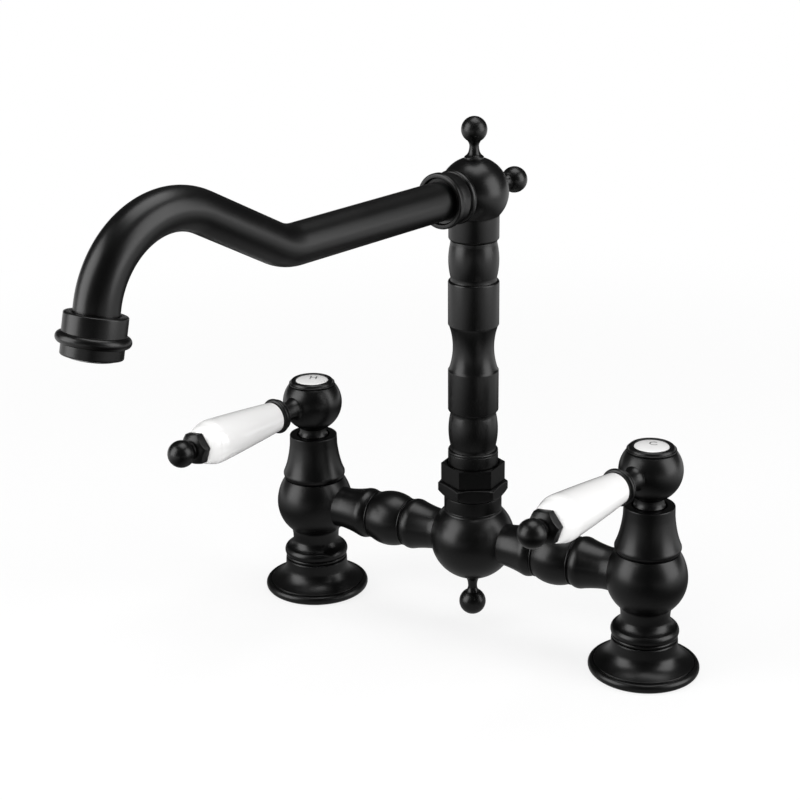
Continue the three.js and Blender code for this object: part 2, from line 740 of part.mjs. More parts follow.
const ringGrooves = [0, 1].map((i) => spigotFoot + oRing.firstInset + i * oRing.spacing);

// Heights of the turned riser, from its foot up.
const drumGap = column.grooveWidth;
const footTop = columnFoot + column.footHeight;
const lowerBarrel = footTop + drumGap / 2;
const lowerDrum = lowerBarrel + column.barrelLength + drumGap / 2;
const waist = lowerDrum + column.lowerDrum;
const upperDrum = waist + column.waistLength;
const upperBarrel = upperDrum + column.upperDrum + drumGap / 2;
const columnTop = upperBarrel + column.barrelLength + drumGap / 2;
const headZ = columnTop + head.centreAboveColumn;

function riserColumn() {
  const c = column;
  const grooveHalf = oRing.section + fit / 2;
  const grooveFloor = c.spigotRadius + 0.1 - 2 * oRing.section - fit / 2;
  const splitFloor = c.spigotRadius - splitRing.depth - fit;
  const ringStops = ringGrooves.flatMap((z) => [
    corner(c.spigotRadius, z - grooveHalf),
    corner(grooveFloor, z - grooveHalf),
    corner(grooveFloor, z + grooveHalf),
    corner(c.spigotRadius, z + grooveHalf),
  ]);
  const drum = (from, to) => [
    corner(c.radius - c.edge, from),
    corner(c.radius, from + c.edge),
    corner(c.radius, to - c.edge),
    corner(c.radius - c.edge, to),
  ];
  const barrel = (from) =>
    swell(c.grooveRadius, from, from + c.barrelLength, c.radius - 0.2 - c.grooveRadius, 4);
  return turnedRing([
    corner(c.bore, spigotFoot),
    corner(c.spigotRadius, spigotFoot),
    ...ringStops,
    corner(c.spigotRadius, splitRingZ - fit / 2),
    corner(splitFloor, splitRingZ - fit / 2),
    corner(splitFloor, splitRingZ + splitRing.thickness + fit / 2),
    corner(c.spigotRadius, splitRingZ + splitRing.thickness + fit / 2),
    corner(c.spigotRadius, columnFoot),
    ...drum(columnFoot, footTop),
    barrel(lowerBarrel),
    corner(c.radius - c.edge, lowerDrum),
    corner(c.radius, lowerDrum + c.edge),
    swell(c.radius, waist, upperDrum, c.waistRadius - c.radius, 5),
    corner(c.radius, upperDrum + c.upperDrum - c.edge),
    corner(c.radius - c.edge, upperDrum + c.upperDrum),
    barrel(upperBarrel),
    corner(c.topSpigotRadius, columnTop),
    corner(c.topSpigotRadius, columnTop + c.topSpigotLength),
    corner(c.bore, columnTop + c.topSpigotLength),
  ], midSides);
}

function oRingSeal(z) {
  const centre = column.spigotRadius + 0.1 - oRing.section;
  return turnedRing([arc(centre, z, oRing.section, oRing.section, 0, 2 * Math.PI, 6).slice(0, -1)], midSides);
}

// Split ring in the riser's groove; the gland nut and the thrust washer keep it down.
function retainingRing() {
  const inner = column.spigotRadius - splitRing.depth;
  const outer = throatBoss.radius - fit;
  const ring = washer(inner, outer, splitRingZ, splitRingZ + splitRing.thickness);
  const slot = new THREE.BoxGeometry(splitRing.gap, outer * 2, splitRing.thickness + 2);
  slot.translate(0, outer, splitRingZ + splitRing.thickness / 2);
  return cut(ring, closed(slot));
}

function lockNutPiece() {
  return hexNut(lockNut, throatBoss.radius + 2 * fit)
    .rotateZ(radians(nutTurn - 90))
    .translate(0, 0, lockNutZ);
}

function glandNutPiece() {
  const g = glandNut;
  const nut = hexNut(g, throatRadius);
  return cut(nut, rod(g.rebateRadius, g.height - g.rebateDepth, g.height + 1, roundSides))
    .rotateZ(radians(nutTurn - 90))
    .translate(0, 0, glandNutZ);
}

// ---------------------------------------------------------------- spout

// In the head's own frame the spout leaves along +X and the ball is centred on the origin.
function spoutHead() {
  const h = head;
  const c = column;
  const foot = columnTop + fit - headZ;
  const skirtTop = -Math.sqrt(h.radius ** 2 - h.skirtRadius ** 2);
  const stud = finial.studRadius + fit;
  const top = Math.sqrt(h.radius ** 2 - stud ** 2);
  const spigotTop = foot + c.topSpigotLength + fit;
  const shell = turned([
    corner(0, foot + 0.01),
    corner(h.skirtRadius - 1.2, foot),
    corner(h.skirtRadius, foot + 1.6),
    arc(0, 0, h.radius, h.radius, Math.asin(skirtTop / h.radius), Math.asin(top / h.radius), 7),
    corner(stud, h.radius - finial.studLength - fit),
    corner(0, h.radius - finial.studLength - fit),
  ], midSides);
  const frontBoss = alongX(rod(h.bossRadius, 4, h.bossReach, midSides));
  const tubeBore = spoutTube.radius - spoutTube.wall;
  const columnSocket = rod(c.topSpigotRadius + fit, foot - 1, spigotTop, midSides);
  const riserWay = rod(c.bore, foot, 0, midSides);
  const spoutWay = alongX(rod(tubeBore, -c.bore + 1, h.bossReach + 1, midSides));
  const backHole = alongX(rod(stud, h.radius - finial.studLength - fit, h.radius + 2)).rotateZ(Math.PI);
  const bossFace = alongX(rod(h.radius, h.bossReach, h.radius + 1));
  return cut(join(shell, frontBoss), bossFace, columnSocket, riserWay, spoutWay, backHole);
}

// Union collar, modelled along Z from the head's centre.
function unionCollar() {
  const c = collar;
  const grooveAt = c.start + c.ring;
  const bandAt = grooveAt + c.groove;
  const lipAt = bandAt + c.band;
  const end = lipAt + c.lip;
  const bossBore = head.bossRadius + fit;
  const tubeBore = spoutTube.radius + fit;
  return turnedRing([
    corner(bossBore, c.start),
    arc(c.radius - c.ring / 2, c.start + c.ring / 2, c.ring / 2, c.ring / 2, -Math.PI / 2, Math.PI / 2, 2),
    corner(c.grooveRadius, grooveAt + 0.1),
    corner(c.grooveRadius, bandAt - 0.2),
    corner(c.bandRadius, bandAt + 0.3),
    corner(c.bandRadius, lipAt - 0.2),
    corner(c.radius, lipAt + 0.3),
    corner(c.radius - 0.1, end - 0.7),
    corner(c.radius - 0.9, end),
    corner(c.mouthRadius, end),
    corner(tubeBore, end - c.mouthDepth),
    corner(tubeBore, head.bossReach + 2 * fit),
    corner(bossBore, head.bossReach + 2 * fit),
  ], midSides);
}

// The spout's centre line in its own upright plane: a level run, a bend up, a rise and the long bend over.
class SpoutLine extends THREE.CurvePath {
  constructor() {
    super();
    const t = spoutTube;
    this.place = new THREE.Vector3(head.bossReach + fit, 0, 0);
    this.heading = 0;
    this.run(t.levelRun - head.bossReach - fit);
    this.bend(t.lowerBend, radians(t.riseAngle));
    this.run(t.riseRun);
    this.bend(t.neckBend, -radians(t.riseAngle + 90 - t.tipTilt));
    this.run(t.tipRun - aerator.height - aeratorWasher.thickness);
  }
  run(length) {
    const end = this.place.clone();
    end.x += length * Math.cos(this.heading);
    end.z += length * Math.sin(this.heading);
    this.add(new THREE.LineCurve3(this.place.clone(), end));
    this.place = end;
  }
  bend(radius, turn) {
    const side = Math.sign(turn);
    const centre = this.place.clone();
    centre.x -= side * radius * Math.sin(this.heading);
    centre.z += side * radius * Math.cos(this.heading);
    const first = this.heading - side * Math.PI / 2;
    const bendArc = new THREE.Curve();
    bendArc.getPoint = (share, target = new THREE.Vector3()) => {
      const angle = first + turn * share;
      return target.set(centre.x + radius * Math.cos(angle), 0, centre.z + radius * Math.sin(angle));
    };
    this.add(bendArc);
    this.place = bendArc.getPoint(1);
    this.heading += turn;
  }
}
const spoutLine = new SpoutLine();

function ringShape(outer, inner) {
  const shape = new THREE.Shape().absarc(0, 0, outer, 0, 2 * Math.PI);
  shape.holes.push(new THREE.Path().absarc(0, 0, inner, 0, 2 * Math.PI, true));
  return shape;
}

function bentTube() {
  const shape = ringShape(spoutTube.radius, spoutTube.radius - spoutTube.wall);
  const options = { steps: 24, curveSegments: 6, extrudePath: spoutLine, bevelEnabled: false };
  return closed(new THREE.ExtrudeGeometry(shape, options));
}

// Nozzle and aerator are modelled along Z: 0 is the mouth and the tube comes in from above.
const tubeEndAbove = aerator.height + aeratorWasher.thickness;
function nozzleCap() {
  const n = nozzle;
  const beadZ = n.skirtLength + n.beadHalf;
  const top = n.skirtLength + 2 * n.beadHalf + n.topLength;
  return turnedRing([
    corner(n.mouthRadius, 0),
    corner(n.skirtRadius - n.edge, 0),
    corner(n.skirtRadius, n.edge),
    corner(n.skirtRadius, n.skirtLength),
    arc(n.beadRadius - n.beadHalf, beadZ, n.beadHalf, n.beadHalf, -Math.PI / 2, Math.PI / 2, 3),
    corner(n.radius, beadZ + n.beadHalf + 0.1),
    corner(n.radius, top - n.edge),
    corner(n.radius - n.edge, top),
    corner(spoutTube.radius + fit, top),
    corner(spoutTube.radius + fit, tubeEndAbove),
    corner(n.mouthRadius, tubeEndAbove),
  ], midSides);
}

function aeratorHousing() {
  const a = aerator;
  const screenSeat = a.screenInset + a.screen + 2 * fit - a.proud;
  return turnedRing([
    corner(a.radius - a.wall, -a.proud),
    corner(a.radius - 0.3, -a.proud),
    corner(a.radius, -a.proud + 0.4),
    corner(a.radius, a.height - fit),
    corner(a.radius - 3.2, a.height - fit),
    corner(a.radius - 3.2, screenSeat),
    corner(a.radius - a.wall, screenSeat),
  ], midSides);
}
const aeratorScreen = () =>
  rod(aerator.radius - aerator.wall - fit, aerator.screenInset - aerator.proud,
    aerator.screenInset - aerator.proud + aerator.screen, midSides);
const aeratorGasket = () =>
  washer(aerator.radius - aeratorWasher.width, aerator.radius, aerator.height,
    aerator.height + aeratorWasher.thickness - fit, midSides);

// ---------------------------------------------------------------- assembly

for (const [side, x] of [['hot', -postHalf], ['cold', postHalf]]) {
  const post = new THREE.Group();
  post.position.x = x;
  model.add(post);
  // The bridge socket faces the middle of the bridge.
  const facing = new THREE.Group();
  facing.rotation.z = side === 'hot' ? 0 : Math.PI;
  post.add(facing);
  add(post, `${side}_base_flange`, baseFlange(), black());
  add(post, `${side}_deck_seal`, postSeal(), rubber());
  add(post, `${side}_inlet_bush`, inletBush(), brass());
  add(facing, `${side}_pillar_body`, pillarBody(), black());
  add(post, `${side}_bonnet`, bonnetShell(), black());
  add(facing, `${side}_cartridge`, cartridgeBody(), brass());
  add(post, `${side}_cartridge_seal`,
    washer(cartridge.radius - sealRing.width, cartridge.radius, sealZ, sealZ + sealRing.thickness), rubber());
  add(post, `${side}_fixed_disc`, ceramicDisc(fixedDiscZ, 0), ceramicWhite());
  add(post, `${side}_moving_disc`, ceramicDisc(movingDiscZ, Math.PI / 2), ceramicWhite());
  add(post, `${side}_spindle`, spindleShaft(), brass());
  add(post, `${side}_index_ring`, indexCap(), black());
  add(post, `${side}_index_disc`, indexButton(), porcelain());
  add(post, `${side}_handle_screw`, capScrew(), steel());

  const hubCentre = new THREE.Group();
  hubCentre.position.z = hubZ;
  post.add(hubCentre);
  add(hubCentre, `${side}_handle_hub`, handleHub(), black());
  const leverAxis = new THREE.Group();
  leverAxis.quaternion.copy(leverTurn);
  hubCentre.add(leverAxis);
  add(leverAxis, `${side}_lever_collar`, leverCollar(), black());
  add(leverAxis, `${side}_lever_rod`, rod(lever.rodRadius, rodStart, rodEnd), steel());
  add(leverAxis, `${side}_lever_grip`, leverGrip(), porcelain());
  add(leverAxis, `${side}_lever_finial`, leverFinial(), black());
}

add(model, 'cold_bridge_arm', bridgeArm(), black());
const hotArmTurn = new THREE.Group();
hotArmTurn.rotation.z = Math.PI;
model.add(hotArmTurn);
add(hotArmTurn, 'hot_bridge_arm', bridgeArm(), black());

add(model, 'middle_body', middleBody(), black());
const underside = new THREE.Group();
underside.position.z = bridgeHeight;
underside.rotation.x = Math.PI;
model.add(underside);
add(underside, 'bottom_finial', finialPiece(bottomFinial, hubBall.radius), black());
add(model, 'lock_nut', lockNutPiece(), black());
add(model, 'gland_nut', glandNutPiece(), black());
add(model, 'thrust_washer',
  washer(throatRadius, throatBoss.radius - fit, washerZ, washerZ + thrustWasher.thickness), nylon());

const spout = new THREE.Group();
spout.rotation.z = radians(-90 - spoutTube.swing);
model.add(spout);
add(spout, 'riser_column', riserColumn(), black());
add(spout, 'lower_o_ring', oRingSeal(ringGrooves[0]), rubber());
add(spout, 'upper_o_ring', oRingSeal(ringGrooves[1]), rubber());
add(spout, 'retaining_ring', retainingRing(), steel());

const headGroup = new THREE.Group();
headGroup.position.z = headZ;
spout.add(headGroup);
add(headGroup, 'spout_head', spoutHead(), black());
add(headGroup, 'top_finial', finialPiece(topFinial, head.radius), black());
add(headGroup, 'back_finial', finialPiece(backFinial, head.radius).rotateY(-Math.PI / 2), black());
add(headGroup, 'spout_collar', alongX(unionCollar()), black());
add(headGroup, 'spout_tube', bentTube(), black());

const tip = new THREE.Group();
const tipDirection = new THREE.Vector3(Math.cos(spoutLine.heading), 0, Math.sin(spoutLine.heading));
tip.position.copy(spoutLine.place).addScaledVector(tipDirection, tubeEndAbove + fit);
tip.quaternion.setFromUnitVectors(up, tipDirection.clone().negate());
headGroup.add(tip);
add(tip, 'nozzle', nozzleCap(), black());
add(tip, 'aerator_housing', aeratorHousing(), steel());
add(tip, 'aerator_screen', aeratorScreen(), steel());
add(tip, 'aerator_washer', aeratorGasket(), rubber());

export default model;
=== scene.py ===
import json
import math

import bpy
from mathutils import Matrix, Vector


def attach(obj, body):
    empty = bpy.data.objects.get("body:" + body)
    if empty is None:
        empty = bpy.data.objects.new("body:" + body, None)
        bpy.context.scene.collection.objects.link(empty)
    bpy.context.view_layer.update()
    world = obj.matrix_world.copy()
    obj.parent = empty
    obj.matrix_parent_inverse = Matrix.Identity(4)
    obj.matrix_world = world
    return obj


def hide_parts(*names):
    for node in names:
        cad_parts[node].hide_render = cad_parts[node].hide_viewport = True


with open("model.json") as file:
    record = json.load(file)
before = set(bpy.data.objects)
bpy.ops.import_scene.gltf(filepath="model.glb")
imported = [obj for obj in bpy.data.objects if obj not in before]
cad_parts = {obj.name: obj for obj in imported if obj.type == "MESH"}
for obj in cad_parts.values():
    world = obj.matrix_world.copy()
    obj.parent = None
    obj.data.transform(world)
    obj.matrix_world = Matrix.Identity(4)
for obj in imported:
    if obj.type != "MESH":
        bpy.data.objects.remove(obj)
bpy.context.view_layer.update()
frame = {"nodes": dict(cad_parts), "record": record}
print("frame loaded")

mm = 0.001  # sizes below are in millimetres, the frame is in metres
fit = 0.3  # the gap that seated pieces keep
satinSlot, porcelainSlot = "satin_black", "porcelain"

# how pieces are made: a chain of points is extruded, then spun, in edit mode
turning = {"sides": 96, "soften": 0.3, "weld": 0.004, "leastStep": 0.02}
softCorner = {"steps": 4, "fromDeg": 24, "sharpest": 2.4, "share": 0.45}
smoothing = {"turned": 40, "faced": 35}  # degrees


def letGo():
    for other in bpy.context.selected_objects:
        other.select_set(False)
    bpy.context.view_layer.objects.active = None


def pickOnly(piece):
    letGo()
    piece.select_set(True)
    bpy.context.view_layer.objects.active = piece


def named(piece, name):
    piece.name = name
    piece.data.name = name
    return piece


def arc(r, z, radiusR, radiusZ, startDeg, endDeg, steps):
    points = []
    for i in range(steps + 1):
        angle = math.radians(startDeg + (endDeg - startDeg) * i / steps)
        points.append((r + radiusR * math.cos(angle), z + radiusZ * math.sin(angle)))
    return points


def bow(start, pull, end, steps):
    points = []
    for i in range(steps + 1):
        t = i / steps
        w0, w1, w2 = (1 - t) ** 2, 2 * t * (1 - t), t * t
        points.append(tuple(w0 * a + w1 * b + w2 * c for a, b, c in zip(start, pull, end)))
    return points


def swell(r, fromZ, toZ, depth, steps):
    # a round bulge, or a hollow when depth is negative
    half = (toZ - fromZ) / 2
    radius = (half * half + depth * depth) / (2 * abs(depth))
    reach = math.degrees(math.asin(half / radius))
    if depth > 0:
        return arc(r + depth - radius, (fromZ + toZ) / 2, radius, radius, -reach, reach, steps)
    return arc(r + depth + radius, (fromZ + toZ) / 2, radius, radius, 180 + reach, 180 - reach, steps)


def bead(r, fromZ, thickness, steps):
    # a half round rim whose outermost point is at r
    half = thickness / 2
    return arc(r - half, fromZ + half, half, half, -90, 90, steps)


def quarter(r, z, radius, startDeg, steps):
    # a quarter round about (r, z)
    return arc(r, z, radius, radius, startDeg, startDeg + 90, steps)


def ballSide(z, radius, startDeg, endDeg, steps):
    # a ball on the axis, with its middle at z
    return arc(0, z, radius, radius, startDeg, endDeg, steps)


def ballAngle(r, ballRadius):
    # degrees above a ball's middle where it has narrowed to the radius r
    return math.degrees(math.acos(r / ballRadius))


def flatten(parts):
    # single points and runs of points become one list without repeats
    chain = []
    for part in parts:
        run = part if isinstance(part, list) else [part]
        for point in run:
            if not chain or math.dist(point, chain[-1]) > turning["leastStep"]:
                chain.append(point)
    return chain


def softenCorners(chain, radius):
    # sharp turns of a profile get a small round, as cast and painted edges have
    c = softCorner
    softened = [chain[0]]
    for before, here, after in zip(chain, chain[1:], chain[2:]):
        inward = Vector(here) - Vector(before)
        outward = Vector(after) - Vector(here)
        turn = inward.angle(outward)
        if turn < math.radians(c["fromDeg"]):
            softened.append(here)
            continue
        cutBack = min(radius * math.tan(min(turn, c["sharpest"]) / 2),
                      inward.length * c["share"], outward.length * c["share"])
        start = Vector(here) - inward.normalized() * cutBack
        end = Vector(here) + outward.normalized() * cutBack
        softened += bow(tuple(start), here, tuple(end), c["steps"])
    softened.append(chain[-1])
    return softened


def smoothShade(piece, angleDeg):
    pickOnly(piece)
    bpy.ops.object.shade_smooth_by_angle(angle=math.radians(angleDeg))


def closeUp(piece, capEnds=False):
    # ends edit mode: the seam is welded, and every face looks outwards
    bpy.ops.mesh.select_all(action="SELECT")
    bpy.ops.mesh.remove_doubles(threshold=turning["weld"] * mm)
    if capEnds:
        bpy.ops.mesh.fill_holes(sides=0)
        bpy.ops.mesh.select_all(action="SELECT")
    bpy.ops.mesh.normals_make_consistent(inside=False)
    bpy.ops.object.mode_set(mode="OBJECT")
    smoothShade(piece, smoothing["turned"])


def lathe(name, profile, sides=turning["sides"], soften=turning["soften"]):
    # the profile is (radius, height) in millimetres; one that returns to its start makes a ring
    chain = softenCorners(flatten(profile), soften)
    letGo()
    bpy.ops.mesh.primitive_plane_add(size=mm)
    piece = named(bpy.context.object, name)
    bpy.ops.object.mode_set(mode="EDIT")
    bpy.ops.mesh.select_all(action="SELECT")
    bpy.ops.mesh.merge(type="CENTER")
    bpy.ops.transform.translate(value=(chain[0][0] * mm, 0, chain[0][1] * mm))
    for start, end in zip(chain, chain[1:]):
        step = ((end[0] - start[0]) * mm, 0, (end[1] - start[1]) * mm)
        bpy.ops.mesh.extrude_region_move(TRANSFORM_OT_translate={"value": step})
    bpy.ops.mesh.select_all(action="SELECT")
    bpy.ops.mesh.spin(steps=sides, angle=math.tau, center=(0, 0, 0), axis=(0, 0, 1))
    closeUp(piece)
    return piece


def place(x, y, z):
    return Matrix.Translation((x * mm, y * mm, z * mm))


def rotated(degrees, axis):
    return Matrix.Rotation(math.radians(degrees), 4, axis)


forward, backward = rotated(90, "Y"), rotated(-90, "Y")  # lays an upright piece along +X or -X


def settle(piece, matrix):
    # the piece is turned and placed, and its place is then kept in its mesh
    pickOnly(piece)
    piece.matrix_world = matrix
    bpy.ops.object.transform_apply(location=True, rotation=True, scale=True)
    return piece


def joined(name, *pieces):
    pickOnly(pieces[0])
    for piece in pieces[1:]:
        piece.select_set(True)
    bpy.ops.object.join()
    return named(bpy.context.object, name)


def applyModifier(piece, modifier):
    pickOnly(piece)
    bpy.ops.object.modifier_apply(modifier=modifier.name)


def crossWith(block, tool, operation):
    # the tool is used up
    trim = block.modifiers.new("trim", "BOOLEAN")
    trim.operation = operation
    trim.solver = "EXACT"
    trim.object = tool
    applyModifier(block, trim)
    bpy.data.objects.remove(tool)


# nuts: a six sided cylinder crossed with a turned blank, so its corners are rounded off as a turned nut's are
nutMaking = {"beyond": 0.4, "rimShare": 0.985, "cuts": 3, "blankSoften": 0.05, "edgeSteps": 3, "edgeDeg": 28}


def flatRadius(nut):
    return nut["corner"] * math.cos(math.pi / 6)


def chamfer(nut, depth, atTop, share=nutMaking["rimShare"]):
    # the slope that is turned off a rim of a nut, down to a share of the distance of its flats
    outer = (nut["corner"] + nutMaking["beyond"], nut["height"] - depth if atTop else depth)
    inner = (flatRadius(nut) * share, nut["height"] if atTop else 0)
    return [outer, inner] if atTop else [inner, outer]


def hexBlock(name, nut, crown, foot):
    m = nutMaking
    letGo()
    bpy.ops.mesh.primitive_cylinder_add(vertices=6, radius=nut["corner"] * mm, depth=nut["height"] * mm,
                                        location=(0, 0, nut["height"] * mm / 2),
                                        rotation=(0, 0, math.radians(30)))
    block = named(bpy.context.object, name)
    bpy.ops.object.transform_apply(location=True, rotation=True, scale=True)
    bpy.ops.object.mode_set(mode="EDIT")
    bpy.ops.mesh.select_all(action="SELECT")
    bpy.ops.mesh.subdivide(number_cuts=m["cuts"])
    bpy.ops.object.mode_set(mode="OBJECT")
    blankProfile = [(0, foot[0][1])] + foot + crown + [(0, crown[-1][1])]
    crossWith(block, lathe(name + "_blank", blankProfile, soften=m["blankSoften"]), "INTERSECT")
    edges = block.modifiers.new("edge_round", "BEVEL")
    edges.width = nut["edge"] * mm
    edges.segments = m["edgeSteps"]
    edges.limit_method = "ANGLE"
    edges.angle_limit = math.radians(m["edgeDeg"])
    applyModifier(block, edges)
    smoothShade(block, smoothing["faced"])
    return block


# finishes: two groups of nodes give tone, gloss and relief, and each finish sets them


def addNode(tree, kind, x, y, **values):
    node = tree.nodes.new(kind)
    node.location = (x, y)
    for key, value in values.items():
        setattr(node, key, value)
    return node


def setInputs(node, values):
    for key, value in values.items():
        node.inputs[key].default_value = value


def linkAll(tree, *pairs):
    for source, target in pairs:
        tree.links.new(source, target)


def newGroup(name, inputs):
    group = bpy.data.node_groups.new(name, "ShaderNodeTree")
    for label, kind, value in inputs:
        socket = group.interface.new_socket(name=label, in_out="INPUT", socket_type=kind)
        socket.default_value = value
    for label, kind in (("Colour", "NodeSocketColor"), ("Roughness", "NodeSocketFloat"),
                        ("Height", "NodeSocketFloat")):
        group.interface.new_socket(name=label, in_out="OUTPUT", socket_type=kind)
    source = addNode(group, "NodeGroupInput", -900, 0)
    result = addNode(group, "NodeGroupOutput", 700, 0)
    return group, source, result


def buildCoatGroup():
    # slow drift of tone and gloss with a fine pebble, for sprayed, glazed and moulded pieces
    group, source, result = newGroup(
        "sprayedCoat",
        [("Colour", "NodeSocketColor", (0.02, 0.02, 0.02, 1)),
         ("Drift Colour", "NodeSocketColor", (0.03, 0.03, 0.03, 1)),
         ("Drift Size", "NodeSocketFloat", 30), ("Pebble Size", "NodeSocketFloat", 900),
         ("Roughness Low", "NodeSocketFloat", 0.35), ("Roughness High", "NodeSocketFloat", 0.45)])
    where = addNode(group, "ShaderNodeTexCoord", -900, -300)
    drift = addNode(group, "ShaderNodeTexNoise", -600, 200)
    setInputs(drift, {"Detail": 3})
    pebble = addNode(group, "ShaderNodeTexNoise", -600, -100)
    setInputs(pebble, {"Detail": 2, "Roughness": 0.45})
    tone = addNode(group, "ShaderNodeMix", 0, 300, data_type="RGBA")
    specks = addNode(group, "ShaderNodeMath", -300, -60, operation="MULTIPLY_ADD")
    specks.inputs[1].default_value = 0.35  # the pebble's share in the gloss
    gloss = addNode(group, "ShaderNodeMapRange", 0, 0)
    setInputs(gloss, {"From Min": 0.35, "From Max": 1.0})
    linkAll(
        group,
        (where.outputs["Object"], drift.inputs["Vector"]), (where.outputs["Object"], pebble.inputs["Vector"]),
        (source.outputs["Drift Size"], drift.inputs["Scale"]),
        (source.outputs["Pebble Size"], pebble.inputs["Scale"]),
        (drift.outputs["Fac"], tone.inputs["Factor"]), (source.outputs["Colour"], tone.inputs[6]),
        (source.outputs["Drift Colour"], tone.inputs[7]), (pebble.outputs["Fac"], specks.inputs[0]),
        (drift.outputs["Fac"], specks.inputs[2]), (specks.outputs[0], gloss.inputs["Value"]),
        (source.outputs["Roughness Low"], gloss.inputs["To Min"]),
        (source.outputs["Roughness High"], gloss.inputs["To Max"]),
        (tone.outputs[2], result.inputs["Colour"]), (gloss.outputs[0], result.inputs["Roughness"]),
        (pebble.outputs["Fac"], result.inputs["Height"]))
    return group


def buildTurnedGroup():
    # fine rings of a lathe tool along Z, for bare turned metal
    group, source, result = newGroup(
        "turnedMetal",
        [("Colour", "NodeSocketColor", (0.7, 0.7, 0.7, 1)),
         ("Ring Colour", "NodeSocketColor", (0.5, 0.5, 0.5, 1)),
         ("Ring Size", "NodeSocketFloat", 1500), ("Roughness Low", "NodeSocketFloat", 0.15),
         ("Roughness High", "NodeSocketFloat", 0.3)])
    where = addNode(group, "ShaderNodeTexCoord", -900, -300)
    rings = addNode(group, "ShaderNodeTexWave", -600, 100, wave_type="BANDS", bands_direction="Z")
    setInputs(rings, {"Distortion": 0.6, "Detail": 2})
    tone = addNode(group, "ShaderNodeMix", 0, 300, data_type="RGBA")
    gloss = addNode(group, "ShaderNodeMapRange", 0, 0)
    linkAll(
        group,
        (where.outputs["Object"], rings.inputs["Vector"]),
        (source.outputs["Ring Size"], rings.inputs["Scale"]),
        (rings.outputs["Fac"], tone.inputs["Factor"]), (source.outputs["Colour"], tone.inputs[6]),
        (source.outputs["Ring Colour"], tone.inputs[7]), (rings.outputs["Fac"], gloss.inputs["Value"]),
        (source.outputs["Roughness Low"], gloss.inputs["To Min"]),
        (source.outputs["Roughness High"], gloss.inputs["To Max"]),
        (tone.outputs[2], result.inputs["Colour"]), (gloss.outputs[0], result.inputs["Roughness"]),
        (rings.outputs["Fac"], result.inputs["Height"]))
    return group


sprayedCoat = buildCoatGroup()
turnedMetal = buildTurnedGroup()


def finish(name, group, settings, bumpMm, shaderValues):
    material = bpy.data.materials.new(name)
    material.use_nodes = True
    tree = material.node_tree
    shader = tree.nodes["Principled BSDF"]
    look = addNode(tree, "ShaderNodeGroup", -500, 200, node_tree=group)
    setInputs(look, settings)
    bump = addNode(tree, "ShaderNodeBump", -250, -200)
    setInputs(bump, {"Strength": 1, "Distance": bumpMm * mm})
    linkAll(
        tree,
        (look.outputs["Colour"], shader.inputs["Base Color"]),
        (look.outputs["Roughness"], shader.inputs["Roughness"]),
        (look.outputs["Height"], bump.inputs["Height"]), (bump.outputs["Normal"], shader.inputs["Normal"]))
    setInputs(shader, shaderValues)
    return material


def grey(value, warm=0.0):
    return (value + warm, value, value - warm, 1)


satinBlack = finish(
    "satinBlack", sprayedCoat,
    {"Colour": grey(0.0006), "Drift Colour": grey(0.0011), "Drift Size": 45, "Pebble Size": 1900,
     "Roughness Low": 0.29, "Roughness High": 0.37},
    0.006, {"Metallic": 0, "Specular IOR Level": 0.42})
porcelain = finish(
    "porcelain", sprayedCoat,
    {"Colour": grey(0.83, 0.003), "Drift Colour": grey(0.8, 0.006), "Drift Size": 60, "Pebble Size": 260,
     "Roughness Low": 0.06, "Roughness High": 0.12},
    0.01, {"Metallic": 0, "Specular IOR Level": 0.6, "Coat Weight": 0.6, "Coat Roughness": 0.04})
brightSteel = finish(
    "brightSteel", turnedMetal,
    {"Colour": grey(0.72), "Ring Colour": grey(0.6), "Ring Size": 1400, "Roughness Low": 0.14,
     "Roughness High": 0.26},
    0.004, {"Metallic": 1})
wovenSteel = finish(
    "wovenSteel", sprayedCoat,
    {"Colour": grey(0.5), "Drift Colour": grey(0.4), "Drift Size": 400, "Pebble Size": 3000,
     "Roughness Low": 0.25, "Roughness High": 0.4},
    0.004, {"Metallic": 1})
machinedBrass = finish(
    "machinedBrass", turnedMetal,
    {"Colour": (0.72, 0.5, 0.2, 1), "Ring Colour": (0.6, 0.4, 0.15, 1), "Ring Size": 1000,
     "Roughness Low": 0.22, "Roughness High": 0.36},
    0.006, {"Metallic": 1})
lappedCeramic = finish(
    "lappedCeramic", sprayedCoat,
    {"Colour": grey(0.78, 0.02), "Drift Colour": grey(0.72, 0.03), "Drift Size": 120, "Pebble Size": 1500,
     "Roughness Low": 0.25, "Roughness High": 0.35},
    0.003, {"Metallic": 0})
blackRubber = finish(
    "blackRubber", sprayedCoat,
    {"Colour": grey(0.02), "Drift Colour": grey(0.035), "Drift Size": 90, "Pebble Size": 1300,
     "Roughness Low": 0.7, "Roughness High": 0.85},
    0.02, {"Metallic": 0})
whiteNylon = finish(
    "whiteNylon", sprayedCoat,
    {"Colour": grey(0.72, 0.02), "Drift Colour": grey(0.66, 0.03), "Drift Size": 120, "Pebble Size": 1500,
     "Roughness Low": 0.45, "Roughness High": 0.55},
    0.006, {"Metallic": 0})
inkGrey = finish(
    "inkGrey", sprayedCoat,
    {"Colour": grey(0.09), "Drift Colour": grey(0.12), "Drift Size": 300, "Pebble Size": 2500,
     "Roughness Low": 0.3, "Roughness High": 0.4},
    0.002, {"Metallic": 0})

slotFinishes = {
    satinSlot: satinBlack, porcelainSlot: porcelain, "brass_valve": machinedBrass,
    "ceramic_disc": lappedCeramic, "rubber_seal": blackRubber, "nylon_washer": whiteNylon,
    "bright_steel": brightSteel, "steel_mesh": wovenSteel,
}
for entry in frame["record"]["subparts"]:  # the inside pieces keep their CAD shape
    nodeMaterials = frame["nodes"][entry["node"]].data.materials
    nodeMaterials.clear()
    nodeMaterials.append(slotFinishes[entry["material_slot"]])
print("finishes ready")


